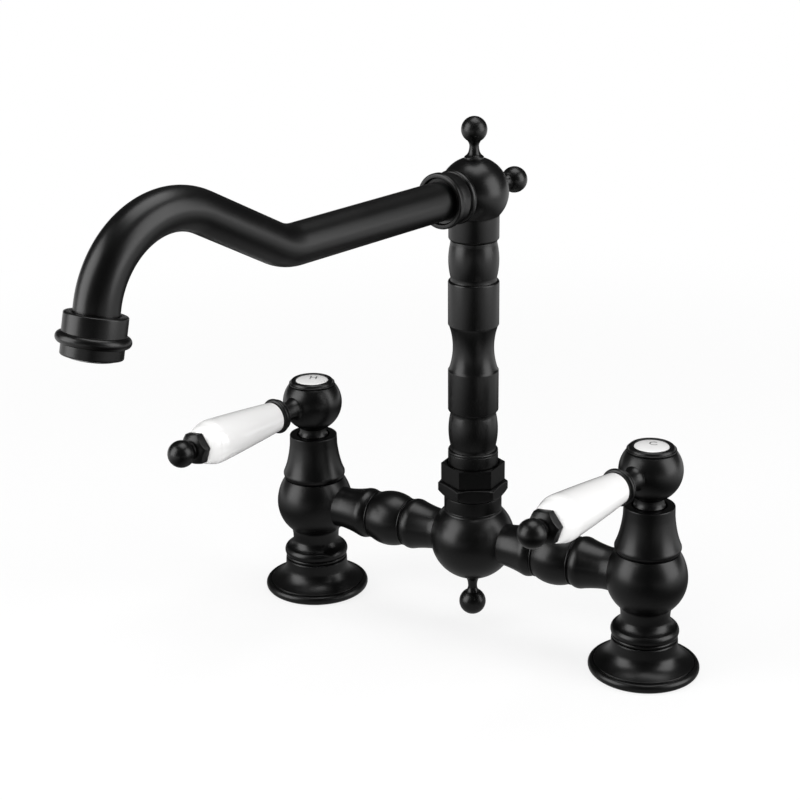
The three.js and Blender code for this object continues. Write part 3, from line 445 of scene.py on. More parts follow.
def dress(piece, body, node, slotName=satinSlot):
    # gives a piece its finish, ties it to its body, and hides the CAD node that it stands for
    piece.data.materials.clear()
    piece.data.materials.append(slotFinishes[slotName])
    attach(piece, body)
    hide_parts(node)


# posts
bridgeHeight = 51.5
postHalf = 100
posts = (("hot", -postHalf), ("cold", postHalf))
flange = {"rim": 28.5, "rimHeight": 4.8, "rimRound": 2.0, "step": 0.4, "groove": 0.5, "sweep": 3.2,
          "throat": 17.0, "throatLength": 4.4, "height": 18.4, "bore": 12.5, "sides": 128}


def flangeProfile():
    f = flange
    rimEnd = f["rim"] - f["rimRound"]
    step = rimEnd - f["step"]
    grooveZ = f["rimHeight"] - f["groove"]
    return [
        (f["bore"], 0), (rimEnd, 0),
        arc(rimEnd, f["rimHeight"] / 2, f["rimRound"], f["rimHeight"] / 2, -90, 90, 14),
        (step, f["rimHeight"]), (step - 0.1, grooveZ), (step - 0.5, grooveZ + 0.1),
        bow((step - 0.6, f["rimHeight"] + 0.35), (f["throat"] + 0.5, f["rimHeight"] + f["sweep"]),
            (f["throat"] + 0.2, f["height"] - f["throatLength"]), 24),
        (f["throat"], f["height"] - 0.5), (f["throat"] - 0.5, f["height"]),
        (f["bore"], f["height"]), (f["bore"], 0),
    ]


pillar = {"band": 16.9, "bandHeight": 1.9, "bead": 17.45, "beadRound": 3.3, "beadRise": 3.9, "cove": 6.5,
          "neck": 12.6, "neckHeight": 29.6, "fillet": 1.4, "ball": 20.7, "ballHalf": 23.1, "underHalf": 20.3,
          "shoulder": 16.1, "spigot": 9.0, "spigotFoot": 15.3, "bush": 12.5, "bushTop": 20.9, "water": 4.5,
          "boss": 12.9, "bossHeight": 7.6, "socket": 9.6, "socketDepth": 37, "sides": 112}
pillarFoot = flange["height"] + fit
shoulderZ = bridgeHeight + pillar["ballHalf"] * math.sqrt(1 - (pillar["shoulder"] / pillar["ball"]) ** 2)
bossTop = shoulderZ + pillar["bossHeight"]


def pillarProfile():
    # the ball is taller above its middle than below it
    p = pillar
    bandTop = pillarFoot + p["bandHeight"]
    coveZ = pillarFoot + p["cove"]
    beadMiddle = p["bead"] - p["beadRound"]
    underEdge = p["neck"] + p["fillet"]
    underDeg = ballAngle(underEdge, p["ball"])
    underZ = bridgeHeight - p["underHalf"] * math.sin(math.radians(underDeg))
    socketFoot = bossTop - p["socketDepth"]
    return [
        (p["water"], p["spigotFoot"]), (p["spigot"], p["spigotFoot"]), (p["spigot"], p["bushTop"]),
        (p["bush"], p["bushTop"]), (p["bush"], pillarFoot),
        bead(p["band"], pillarFoot, p["bandHeight"], 12), (p["band"] - 0.7, bandTop + 0.2),
        arc(beadMiddle, pillarFoot + p["beadRise"], p["beadRound"], p["beadRound"], -32, 50, 18),
        bow((p["bead"] - 1.3, coveZ), (p["neck"] + 0.8, coveZ + 1), (p["neck"], p["neckHeight"]), 14),
        bow((p["neck"], p["neckHeight"]), (p["neck"], underZ - p["fillet"]), (underEdge, underZ), 8),
        arc(0, bridgeHeight, p["ball"], p["underHalf"], -underDeg, 0, 24),
        arc(0, bridgeHeight, p["ball"], p["ballHalf"], 0, ballAngle(p["shoulder"], p["ball"]), 24),
        (p["shoulder"] - 0.6, shoulderZ + 0.05), (p["boss"], shoulderZ + 0.05), (p["boss"], bossTop),
        (p["socket"], bossTop), (p["socket"], socketFoot),
        (p["water"], socketFoot), (p["water"], p["spigotFoot"]),
    ]


bonnet = {"lip": 16.9, "lipHeight": 3.1, "taper": 1.0, "hollow": 0.38, "neck": 0.78, "top": 12.9,
          "height": 24.9, "mouth": 8.9, "mouthDepth": 4, "thread": 13.2, "inner": 11.6, "sides": 96}
bonnetZ = shoulderZ + fit
bonnetTop = bonnetZ + bonnet["height"]


def bonnetProfile():
    b = bonnet
    foot = b["lip"] - b["taper"]
    lipTop = bonnetZ + b["lipHeight"]
    return [
        (b["thread"], bonnetZ), (foot, bonnetZ),
        bow((foot + 0.1, bonnetZ + 0.1), (b["lip"], lipTop - 1.6), (b["lip"], lipTop - 0.8), 8),
        bow((b["lip"] - 0.05, lipTop), (b["top"] + 1.1, bonnetZ + b["height"] * b["hollow"]),
            (b["top"] + 0.15, bonnetZ + b["height"] * b["neck"]), 20),
        (b["top"], bonnetTop - 0.9), quarter(b["top"] - 0.5, bonnetTop - 0.5, 0.5, 0, 6),
        quarter(b["mouth"] + 0.4, bonnetTop - 0.4, 0.4, 90, 5),
        (b["mouth"], bonnetTop - b["mouthDepth"]), (b["inner"], bonnetTop - 2 * b["mouthDepth"]),
        (b["inner"], bossTop + fit), (b["thread"], bossTop + fit), (b["thread"], bonnetZ),
    ]


for side, x in posts:
    for node, profile, sides in (("base_flange", flangeProfile(), flange["sides"]),
                                 ("pillar_body", pillarProfile(), pillar["sides"]),
                                 ("bonnet", bonnetProfile(), bonnet["sides"])):
        piece = lathe(f"{side}_{node}_turned", profile, sides)
        dress(settle(piece, place(x, 0, 0)), "bridge", f"{side}_{node}")
print("posts ready")

# handles
hub = {"radius": 16.1, "rise": 18.6, "neck": 7.3, "foot": 8.1, "footDepth": 1.9, "crown": 12.4}
hubZ = bonnetTop + hub["rise"]
hubCrownZ = hubZ + math.sqrt(hub["radius"] ** 2 - hub["crown"] ** 2)


def hubProfile():
    h = hub
    foot = bonnetTop - h["footDepth"]
    ballFoot = hubZ - math.sqrt(h["radius"] ** 2 - h["neck"] ** 2)
    neck = h["neck"] - 0.2
    return [
        (0, foot), (h["foot"] - 0.4, foot), (h["foot"], foot + 0.4),
        bow((h["foot"], bonnetTop + 0.1), (neck, bonnetTop + 1.2), (neck, ballFoot - 0.2), 10),
        ballSide(hubZ, h["radius"], -ballAngle(h["neck"] + 0.2, h["radius"]),
                 ballAngle(h["crown"], h["radius"]), 44),
        (h["crown"] - 0.7, hubCrownZ + 0.02), (0, hubCrownZ + 0.02),
    ]


indexRing = {"height": 2.4, "flange": 0.9, "rebate": 9.1, "depth": 1.6, "spigot": 0.9, "spigotDepth": 0.6}
ringFoot = hubCrownZ + fit
ringTop = ringFoot + indexRing["height"]


def indexRingProfile():
    r = indexRing
    outer = hub["crown"]
    spigot, spigotFoot = outer - r["spigot"], hubCrownZ - r["spigotDepth"]
    step = ringFoot + r["flange"]
    return [
        (0, spigotFoot), (spigot, spigotFoot), (spigot, ringFoot), (outer - 0.1, ringFoot),
        (outer, ringFoot + 0.3), (outer, step - 0.2), (outer - 0.15, step),
        bow((outer - 0.6, step), (outer - 1.1, ringTop), (r["rebate"] + 1.1, ringTop), 8),
        (r["rebate"] + 0.15, ringTop), (r["rebate"] + 0.05, ringTop - r["depth"]), (0, ringTop - r["depth"]),
    ]


indexDisc = {"radius": 8.8, "edge": 1.0, "dome": 0.7, "round": 1.2, "soften": 0.12}
discSeat = ringTop - indexRing["depth"] + fit
discTop = discSeat + indexDisc["edge"] + indexDisc["dome"]


def indexDiscProfile():
    d = indexDisc
    edgeZ = discSeat + d["edge"]
    wallTop = (d["radius"], discSeat + d["edge"] * 0.7)
    domeStart = (d["radius"] - d["round"], edgeZ + 0.2)
    return [
        (0, discSeat), (d["radius"], discSeat), wallTop,
        bow(wallTop, (d["radius"] - 0.2, edgeZ + 0.05), domeStart, 4),
        bow(domeStart, (d["radius"] * 0.5, discTop), (0, discTop), 10),
    ]


letterInk = {"size": 6.5, "proud": 0.06, "turn": 24, "back": 1.6}


def discLetter(side, x):
    # a plain letter, printed a hair proud of the dome; it stands for no node of its own
    ink = letterInk
    letGo()
    bpy.ops.object.text_add(location=(0, 0, 0))
    text = bpy.context.object
    text.data.body = side[0].upper()
    text.data.size = ink["size"] * mm
    text.data.extrude = ink["proud"] * mm
    text.data.align_x = "CENTER"
    text.data.align_y = "CENTER"
    text.data.resolution_u = 4
    bpy.ops.object.convert(target="MESH")
    text = named(bpy.context.object, f"{side}_disc_letter")
    settle(text, place(x, ink["back"], discTop - ink["proud"]) @ rotated(ink["turn"], "Z"))
    text.data.materials.append(inkGrey)
    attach(text, f"{side}_handle")


lever = {"swing": 10, "droop": 0.6, "root": 6.4, "rootDepth": 4, "stem": 5.2, "stemEnd": 25.1,
         "innerRing": 8.6, "innerLength": 1.5, "gap": 7.6, "gapLength": 0.4, "outerRing": 9.6,
         "outerLength": 2.7, "sides": 80}
innerEnd = lever["stemEnd"] + lever["innerLength"]
outerStart = innerEnd + lever["gapLength"]
collarEnd = outerStart + lever["outerLength"]


def leverCollarProfile():
    # heights run out along the lever, from the middle of the hub's ball
    v = lever
    surface = hub["radius"]
    rootEnd = surface - v["rootDepth"]
    return [
        (0, rootEnd), (v["root"], rootEnd),
        bow((v["root"], surface - 1.3), (v["stem"], surface), (v["stem"], surface + 3.4), 10),
        (v["stem"], v["stemEnd"] - 0.1), bead(v["innerRing"], v["stemEnd"], v["innerLength"], 10),
        (v["gap"], innerEnd), (v["gap"], outerStart), bead(v["outerRing"], outerStart, v["outerLength"], 14),
        (0, collarEnd),
    ]


grip = {"bore": 2.7, "start": 8.2, "startRound": 1.0, "end": 11.8, "length": 54.6, "shoulder": 9.7,
        "endFace": 7.4, "soften": 0.15}
gripStart = collarEnd + fit
gripEnd = gripStart + grip["length"]


def gripProfile():
    g = grip
    widest = gripEnd - g["shoulder"]
    straight = g["start"] - g["startRound"]
    roundEnd = gripStart + g["startRound"]
    swellEnd = (g["end"] - 0.15, widest - 3)
    shoulder = (g["end"] - 0.9, widest + 4.2)
    return [
        (g["bore"], gripStart), (straight, gripStart), quarter(straight, roundEnd, g["startRound"], -90, 6),
        bow((g["start"], roundEnd), (g["end"] - 1.5, gripStart + 22), swellEnd, 22),
        bow(swellEnd, (g["end"] + 0.35, widest + 1.5), shoulder, 12),
        bow(shoulder, (g["end"] - 2.2, gripEnd - 0.1), (g["endFace"], gripEnd), 12),
        (g["bore"], gripEnd), (g["bore"], gripStart),
    ]


leverNut = {"corner": 8.9, "height": 5.9, "dome": 3, "beyond": 0.3, "edge": 0.2}
leverBall = {"radius": 7.1, "neck": 4.9, "reach": 96.9, "sides": 72}
nutStart = gripEnd + fit
nutEnd = nutStart + leverNut["height"]


def leverFinialPiece(side):
    # a hexagon with a domed end, and the ball that closes the lever
    n, b = leverNut, leverBall
    rim = n["corner"] + n["beyond"]
    crown = bow((rim, n["height"] - n["dome"]), (flatRadius(n) - 0.4, n["height"] - 0.7),
                (b["neck"], n["height"]), 8)
    nutBlock = settle(hexBlock(f"{side}_lever_nut", n, crown, [(rim, 0)]), place(0, 0, nutStart))
    knobProfile = [
        (0, nutEnd - 1), (b["neck"], nutEnd - 1),
        ballSide(b["reach"], b["radius"], -ballAngle(b["neck"], b["radius"]), 90, 30),
    ]
    knob = lathe(f"{side}_lever_knob", knobProfile, b["sides"])
    return joined(f"{side}_lever_finial_turned", nutBlock, knob)


direction = Vector((0, -1, -math.tan(math.radians(lever["droop"])))).normalized()
direction.rotate(Matrix.Rotation(-math.radians(lever["swing"]), 3, "Z"))
leverTurn = Vector((0, 0, 1)).rotation_difference(direction).to_matrix().to_4x4()

for side, x in posts:
    body = f"{side}_handle"
    upright = place(x, 0, 0)
    along = place(x, 0, hubZ) @ leverTurn
    dress(settle(lathe(f"{side}_hub_turned", hubProfile()), upright), body, f"{side}_handle_hub")
    dress(settle(lathe(f"{side}_index_ring_turned", indexRingProfile()), upright), body, f"{side}_index_ring")
    dress(settle(lathe(f"{side}_index_disc_glazed", indexDiscProfile(), soften=indexDisc["soften"]), upright),
          body, f"{side}_index_disc", porcelainSlot)
    discLetter(side, x)
    dress(settle(lathe(f"{side}_lever_collar_turned", leverCollarProfile(), lever["sides"]), along),
          body, f"{side}_lever_collar")
    dress(settle(lathe(f"{side}_lever_grip_glazed", gripProfile(), soften=grip["soften"]), along),
          body, f"{side}_lever_grip", porcelainSlot)
    dress(settle(leverFinialPiece(side), along), body, f"{side}_lever_finial")
print("handles ready")

# bridge
arm = {"end": 14, "root": 11.5, "waist": 11.0, "waistInset": 22, "lip": 13.6, "lipInset": 34.4, "lipEnd": 39,
       "groove": 12.0, "grooveLength": 0.4, "ring": 12.8, "barrelInset": 40.2, "barrelEdge": 12.4,
       "barrel": 14.75}


def armProfile():
    # heights run out from the bridge's middle: a bell, the barrel, and the same bell turned round
    a = arm
    ringStart = a["lipEnd"] + a["grooveLength"]
    waist = (a["waist"], a["waistInset"])
    lipStart = (a["lip"] - 0.3, a["lipInset"] - 1.2)
    widest = (a["lip"], a["lipInset"] + 1)
    bell = flatten([
        (0, a["end"]), (a["root"], a["end"]),
        bow((a["root"], a["end"]), (a["waist"] - 0.1, a["waistInset"] - 3), waist, 6),
        bow(waist, (a["waist"] + 0.7, a["lipInset"] - 6.4), lipStart, 16),
        bow(lipStart, (a["lip"], a["lipInset"] - 0.3), widest, 5),
        bow(widest, (a["lip"] - 0.2, a["lipEnd"] - 1.4), (a["lip"] - 1.5, a["lipEnd"]), 12),
        (a["groove"], a["lipEnd"] + 0.05), (a["groove"], ringStart), (a["ring"], ringStart),
        (a["ring"], a["barrelInset"] - 0.05), (a["barrelEdge"] - 0.2, a["barrelInset"]),
    ])
    farBell = [(r, postHalf - inset) for r, inset in reversed(bell)]
    barrel = swell(a["barrelEdge"], a["barrelInset"] + 0.2, postHalf - a["barrelInset"] - 0.2,
                   a["barrel"] - a["barrelEdge"], 32)
    return [bell, barrel, farBell]


middle = {"ball": 22.3, "neck": 15.1, "neckTop": 76.8, "boss": 12.6, "bossHeight": 2.8, "fillet": 0.5,
          "line": 0.3, "sides": 128}


def middleProfile():
    m = middle
    joinDeg = ballAngle(m["neck"] + m["fillet"], m["ball"])
    joinZ = bridgeHeight + m["ball"] * math.sin(math.radians(joinDeg))
    bossZ = m["neckTop"] + m["bossHeight"]
    return [
        ballSide(bridgeHeight, m["ball"], -90, joinDeg, 56),
        bow((m["neck"] + m["fillet"], joinZ), (m["neck"], joinZ + 0.3), (m["neck"], joinZ + 1.1), 5),
        (m["neck"], joinZ + 1.6), (m["neck"] - m["line"], joinZ + 1.8), (m["neck"], joinZ + 2.0),
        (m["neck"], m["neckTop"] - 0.5), (m["neck"] - 0.5, m["neckTop"]),
        (m["boss"], m["neckTop"]), (m["boss"], bossZ), (0, bossZ),
    ]


finial = {"neck": 2.4, "flare": 1.1, "base": 4.9, "sides": 64}
topKnob = {"ball": 6.5, "rise": 13.7}
backKnob = {"ball": 6.7, "rise": 15.2}
bottomKnob = {"ball": 7.1, "rise": 15.2}


def finialPiece(name, knob, ballRadius):
    # stands on a ball of that radius about the origin
    f = finial
    centre = ballRadius + knob["rise"]
    seatZ = math.sqrt(ballRadius ** 2 - f["base"] ** 2)
    flareDeg = ballAngle(f["neck"] + f["flare"], knob["ball"])
    neckZ = centre - knob["ball"] * math.sin(math.radians(flareDeg))
    waist = (f["neck"], (seatZ + 2 + neckZ) / 2 + 0.8)
    profile = [
        (0, ballRadius - 2), (f["base"], seatZ - 0.3), (f["base"], seatZ + 0.8),
        bow((f["base"] - 0.5, seatZ + 1.2), (f["neck"] + 0.1, seatZ + 2.4), waist, 12),
        bow(waist, (f["neck"], neckZ - 1.4), (f["neck"] + f["flare"], neckZ), 8),
        ballSide(centre, knob["ball"], -flareDeg, 90, 32),
    ]
    return lathe(name, profile, f["sides"])


for side, turn in (("hot", 180), ("cold", 0)):
    sideways = rotated(turn, "Z") @ forward
    dress(settle(lathe(f"{side}_arm_turned", armProfile()), place(0, 0, bridgeHeight) @ sideways),
          "bridge", f"{side}_bridge_arm")
dress(lathe("middle_ball_turned", middleProfile(), middle["sides"]), "bridge", "middle_body")
dress(settle(finialPiece("bottom_finial_turned", bottomKnob, middle["ball"]),
             place(0, 0, bridgeHeight) @ rotated(180, "X")), "bridge", "bottom_finial")

lockNut = {"corner": 18.4, "height": 7, "chamfer": 1.1, "footChamfer": 2.1, "edge": 0.35}
glandNut = {"corner": 16.7, "height": 9.8, "chamfer": 2.4, "rimShare": 1, "footChamfer": 0.4,
            "footShare": 1.02, "edge": 0.6, "rebate": 13.9, "depth": 1.9}
nutTurn = 3
lockNutZ = middle["neckTop"] + fit
glandNutZ = lockNutZ + lockNut["height"] + fit
glandTop = glandNutZ + glandNut["height"]


def nutPlace(z):
    return place(0, 0, z) @ rotated(nutTurn - 30, "Z")


def lockNutPiece():
    n = lockNut
    return hexBlock("lock_nut_faced", n, chamfer(n, n["chamfer"], True), chamfer(n, n["footChamfer"], False))


def glandNutPiece():
    # the hexagon has a turned rebate that the riser's foot stands in
    n = glandNut
    block = hexBlock("gland_nut_faced", n, chamfer(n, n["chamfer"], True, n["rimShare"]),
                     chamfer(n, n["footChamfer"], False, n["footShare"]))
    floorZ = n["height"] - n["depth"]
    bore = lathe("gland_bore", [(0, floorZ), (n["rebate"] - 0.4, floorZ), (n["rebate"], floorZ + 0.5),
                                (n["rebate"], n["height"] + 1), (0, n["height"] + 1)])
    crossWith(block, bore, "DIFFERENCE")
    smoothShade(block, smoothing["faced"])
    return block


dress(settle(lockNutPiece(), nutPlace(lockNutZ)), "bridge", "lock_nut")
dress(settle(glandNutPiece(), nutPlace(glandNutZ)), "bridge", "gland_nut")
print("bridge ready")

# riser and head
riser = {"radius": 13.05, "spigot": 10.4, "spigotLength": 2, "foot": 9.7, "edge": 1.0, "line": 0.25,
         "groove": 11.8, "gap": 3.2, "barrel": 17.8, "lowerDrum": 22.7, "waist": 23.4, "waistRadius": 10.6,
         "waistEdge": 0.5, "upperDrum": 23.8, "sides": 112}
columnFoot = glandTop - glandNut["depth"] + fit
footTop = columnFoot + riser["foot"]
lowerBarrel = footTop + riser["gap"] / 2
lowerDrum = lowerBarrel + riser["barrel"] + riser["gap"] / 2
waistZ = lowerDrum + riser["lowerDrum"]
upperDrum = waistZ + riser["waist"]
drumTop = upperDrum + riser["upperDrum"]
upperBarrel = drumTop + riser["gap"] / 2
columnTop = upperBarrel + riser["barrel"] + riser["gap"] / 2


def drumEnd(z, towards):
    # a drum's end at z, rounded over; the drum goes up from it or down
    edge = riser["edge"]
    return quarter(riser["radius"] - edge, z + edge * towards, edge, -90 if towards > 0 else 0, 7)


def riserProfile():
    # from the foot up: foot with its scribed line, barrel, drum, waist, drum, barrel
    c = riser
    scribed = c["radius"] - c["line"]
    grooveEdge = c["groove"] + 0.15
    barrelDepth = c["radius"] - 0.2 - c["groove"]
    waistEdge = c["radius"] - c["waistEdge"]
    spigotFoot = columnFoot - c["spigotLength"]
    return [
        (0, spigotFoot), (c["spigot"], spigotFoot), (c["spigot"], columnFoot), drumEnd(columnFoot, 1),
        (c["radius"], footTop - 1.9), (scribed, footTop - 1.7), (scribed, footTop - 1.5),
        (c["radius"] - 0.05, footTop - 1.3), drumEnd(footTop, -1), (grooveEdge, footTop),
        swell(c["groove"], lowerBarrel, lowerBarrel + c["barrel"], barrelDepth, 24),
        (grooveEdge, lowerDrum), drumEnd(lowerDrum, 1), (c["radius"], waistZ - 0.6), (waistEdge, waistZ),
        swell(waistEdge, waistZ, upperDrum, c["waistRadius"] - c["radius"] + c["waistEdge"], 28),
        (waistEdge, upperDrum), (c["radius"], upperDrum + 0.6), drumEnd(drumTop, -1), (grooveEdge, drumTop),
        swell(c["groove"], upperBarrel, upperBarrel + c["barrel"], barrelDepth, 24),
        (c["groove"], columnTop), (0, columnTop),
    ]


head = {"radius": 17.4, "above": 24.5, "skirt": 12.8, "skirtRound": 1.0, "boss": 11.6, "bossStart": 6,
        "reach": 15.9, "sides": 112}
headZ = columnTop + head["above"]


def headPiece():
    # the ball with its skirt, and the boss that the tube goes into
    h = head
    foot = columnTop + fit - headZ
    skirtDeg = ballAngle(h["skirt"] + 0.25, h["radius"])
    joinZ = -h["radius"] * math.sin(math.radians(skirtDeg))
    edge = h["skirtRound"]
    profile = [
        (0, foot - 0.2), (h["skirt"] - 1.1, foot - 0.2),
        quarter(h["skirt"] - edge, foot + edge, edge, -90, 6),
        (h["skirt"], joinZ - 1.2),
        bow((h["skirt"], joinZ - 1.2), (h["skirt"], joinZ - 0.4), (h["skirt"] + 0.25, joinZ), 4),
        ballSide(0, h["radius"], -skirtDeg, 90, 52),
    ]
    ball = lathe("spout_head_turned", profile, h["sides"])
    boss = lathe("head_boss", [(0, h["bossStart"]), (h["boss"], h["bossStart"]), (h["boss"], h["reach"]),
                               (0, h["reach"])])
    return joined("spout_head_turned", ball, settle(boss, forward))


spout = {"radius": 9.75, "swing": 10, "level": 127, "riseDeg": 28, "lowerBend": 31, "rise": 46.6,
         "neckBend": 41.5, "tipTilt": 13, "tip": 20.3, "sides": 80}
collar = {"start": 13.6, "ringRadius": 13.6, "ring": 3.8, "ringRound": 1.2, "groove": 12.4, "gap": 1.3,
          "band": 13.0, "length": 5.6, "line": 0.25, "radius": 13.9, "lip": 3.1, "lipRound": 0.9,
          "mouth": 11.4, "mouthDepth": 1.8, "bore": 9.35, "bossBore": 11.1}


def collarProfile():
    # heights run out along the tube: ring, groove, band and lip, then back through the bore
    c = collar
    half = c["ring"] / 2
    grooveAt = c["start"] + c["ring"]
    bandAt = grooveAt + c["gap"]
    lipAt = bandAt + c["length"]
    end = lipAt + c["lip"]
    scribed = c["band"] - c["line"]
    ringFlat = c["ringRadius"] - c["ringRound"]
    return [
        (c["bossBore"], c["start"]), (ringFlat, c["start"]),
        arc(ringFlat, c["start"] + half, c["ringRound"], half, -90, 90, 14),
        (c["groove"], grooveAt + 0.1), (c["groove"], bandAt - 0.1), (c["band"], bandAt),
        (c["band"], lipAt - 0.8), (scribed, lipAt - 0.6), (scribed, lipAt - 0.3),
        (c["radius"] - 0.3, lipAt), (c["radius"], lipAt + 0.4), (c["radius"], end - 1.0),
        quarter(c["radius"] - c["lipRound"], end - c["lipRound"], c["lipRound"], 0, 8),
        (c["mouth"] + 0.4, end), (c["mouth"], end - 0.4), (c["mouth"] - 0.1, end - c["mouthDepth"]),
        (c["bore"], end - c["mouthDepth"]), (c["bore"], c["start"] + 4), (c["bossBore"], c["start"]),
    ]


headPlace = place(0, 0, headZ)
spoutPlace = headPlace @ rotated(-90 - spout["swing"], "Z")  # made along +X, then swung to the front
dress(lathe("riser_turned", riserProfile(), riser["sides"]), "spout", "riser_column")
dress(settle(headPiece(), spoutPlace), "spout", "spout_head")
dress(settle(finialPiece("back_finial_turned", backKnob, head["radius"]), spoutPlace @ backward),
      "spout", "back_finial")
dress(settle(finialPiece("top_finial_turned", topKnob, head["radius"]), headPlace), "spout", "top_finial")
dress(settle(lathe("spout_collar_turned", collarProfile()), spoutPlace @ forward), "spout", "spout_collar")
print("riser ready")

# spout tube, bent as a pipe is: the end ring is run out and spun about each bend's centre
nozzle = {"mouth": 10.4, "skirt": 13.1, "skirtLength": 4.9, "bead": 15.7, "beadHalf": 2.4, "radius": 13.4,
          "top": 8.2, "edge": 0.8, "socketDepth": 3, "sides": 112}
aerator = {"radius": 10.0, "wall": 1.1, "step": 3.2, "height": 6.6, "proud": 0.9, "screenInset": 2.2,
           "screenSeat": 1.2, "soften": 0.1}
tubeEndAbove = aerator["height"] + 1.6


class PipeEnd:
    # where the open end of the pipe is and which way it points, in the spout's upright plane
    def __init__(self, x):
        self.x, self.z, self.heading = x, 0.0, 0.0

    def run(self, length):
        dx, dz = length * math.cos(self.heading), length * math.sin(self.heading)
        self.x += dx
        self.z += dz
        bpy.ops.mesh.extrude_region_move(TRANSFORM_OT_translate={"value": (dx * mm, 0, dz * mm)})

    def bend(self, radius, turnDeg, steps):
        side = math.copysign(1, turnDeg)
        turn = math.radians(turnDeg)
        cx = self.x - side * radius * math.sin(self.heading)
        cz = self.z + side * radius * math.cos(self.heading)
        bpy.ops.mesh.spin(steps=steps, angle=turn, center=(cx * mm, 0, cz * mm), axis=(0, 1, 0))
        self.heading += turn
        self.x = cx + side * radius * math.sin(self.heading)
        self.z = cz - side * radius * math.cos(self.heading)


def bentTube():
    s = spout
    start = head["reach"] + fit
    letGo()
    bpy.ops.mesh.primitive_circle_add(vertices=s["sides"], radius=s["radius"] * mm, fill_type="NOTHING",
                                      location=(start * mm, 0, 0), rotation=(0, math.radians(90), 0))
    tube = named(bpy.context.object, "spout_tube_bent")
    bpy.ops.object.transform_apply(location=True, rotation=True, scale=True)
    bpy.ops.object.mode_set(mode="EDIT")
    bpy.ops.mesh.select_all(action="SELECT")
    end = PipeEnd(start)
    end.run(s["level"] - start)
    end.bend(s["lowerBend"], s["riseDeg"], 20)
    end.run(s["rise"])
    end.bend(s["neckBend"], -(s["riseDeg"] + 90 - s["tipTilt"]), 56)
    end.run(s["tip"] - tubeEndAbove)
    closeUp(tube, capEnds=True)
    return tube, end


tube, tubeEnd = bentTube()
dress(settle(tube, spoutPlace), "spout", "spout_tube")

# the nozzle is turned with its mouth at the origin and the tube coming in from above
tipAxis = Vector((math.cos(tubeEnd.heading), 0, math.sin(tubeEnd.heading)))
tipSpot = Vector((tubeEnd.x, 0, tubeEnd.z)) + tipAxis * (tubeEndAbove + fit)
tipTurn = Vector((0, 0, 1)).rotation_difference(-tipAxis).to_matrix().to_4x4()
tipPlace = spoutPlace @ place(*tipSpot) @ tipTurn


def nozzleProfile():
    n = nozzle
    edge = n["edge"]
    beadZ = n["skirtLength"] + n["beadHalf"]
    top = n["skirtLength"] + 2 * n["beadHalf"] + n["top"]
    socket, socketFoot = spout["radius"] + 0.1, top - n["socketDepth"]
    return [
        (n["mouth"], 0), (n["skirt"] - edge, 0), quarter(n["skirt"] - edge, edge, edge, -90, 6),
        (n["skirt"], n["skirtLength"]),
        arc(n["bead"] - n["beadHalf"], beadZ, n["beadHalf"], n["beadHalf"], -86, 86, 20),
        (n["radius"], beadZ + n["beadHalf"] + 0.1), quarter(n["radius"] - edge, top - edge, edge, 0, 6),
        (socket + 0.6, top), (socket, top - 0.7), (socket, socketFoot), (n["mouth"], socketFoot - 0.4),
        (n["mouth"], 0),
    ]


def aeratorProfile():
    a = aerator
    inner = a["radius"] - a["wall"]
    stepZ = a["screenInset"] + a["screenSeat"]
    return [
        (inner, 0.3 - a["proud"]), (inner + 0.3, -a["proud"]), (a["radius"] - 0.35, -a["proud"]),
        (a["radius"], 0.4 - a["proud"]), (a["radius"], a["height"]), (a["radius"] - a["step"], a["height"]),
        (a["radius"] - a["step"], stepZ), (inner, stepZ), (inner, 0.3 - a["proud"]),
    ]


screen = {"meshes": 26, "wire": 0.24, "gap": 0.15, "rim": 1, "rimHalf": 0.3, "rimSides": 64, "rise": 0.4}


def screenPiece():
    # a woven square cut round, with its wires given thickness, in a flat rim
    radius = aerator["radius"] - aerator["wall"] - screen["gap"]
    letGo()
    bpy.ops.mesh.primitive_grid_add(x_subdivisions=screen["meshes"], y_subdivisions=screen["meshes"],
                                    size=2 * radius * mm)
    weave = named(bpy.context.object, "screen_weave")
    for vertex in weave.data.vertices:
        vertex.select = vertex.co.xy.length > (radius - 0.2) * mm
    bpy.ops.object.mode_set(mode="EDIT")
    bpy.ops.mesh.select_mode(type="VERT")
    bpy.ops.mesh.delete(type="VERT")
    bpy.ops.object.mode_set(mode="OBJECT")
    wires = weave.modifiers.new("wires", "WIREFRAME")
    wires.thickness = screen["wire"] * mm
    applyModifier(weave, wires)
    inner, half = radius - screen["rim"], screen["rimHalf"]
    rimProfile = [(inner, -half), (radius, -half), (radius, half), (inner, half), (inner, -half)]
    rim = lathe("screen_rim", rimProfile, screen["rimSides"], soften=0.05)
    whole = joined("aerator_screen_woven", weave, rim)
    return settle(whole, place(0, 0, aerator["screenInset"] - aerator["proud"] + screen["rise"]))


dress(settle(lathe("nozzle_turned", nozzleProfile(), nozzle["sides"]), tipPlace), "spout", "nozzle")
dress(settle(lathe("aerator_housing_turned", aeratorProfile(), soften=aerator["soften"]), tipPlace),
      "spout", "aerator_housing", "bright_steel")
dress(settle(screenPiece(), tipPlace), "spout", "aerator_screen", "steel_mesh")
print("spout ready")

# floor, light and camera, in metres
floorPlan = {"size": 12, "grey": 0.86, "sideways": (0.856, 0.517, 0)}
cameraGlow = {"from": 0.3, "to": 0.8, "near": 0.78, "far": 1}  # how much of the floor is plain white
paintedUnderReflection = {"from": 0.06, "to": 0.24, "near": 0.35, "far": 0.02}  # painted reflection: a glow that gloss rays see under the object in place of lit floor, dark further out
paintedSideHighlights = {"from": 0.14, "to": 0.5, "near": 0.03, "far": 0.9}  # painted highlights: glowing strips that gloss rays see at its two sides, dark in front


def ranged(tree, source, values, x, y):
    node = addNode(tree, "ShaderNodeMapRange", x, y, interpolation_type="SMOOTHSTEP")
    setInputs(node, {"From Min": values["from"], "From Max": values["to"],
                     "To Min": values["near"], "To Max": values["far"]})
    tree.links.new(source, node.inputs["Value"])
    return node.outputs[0]


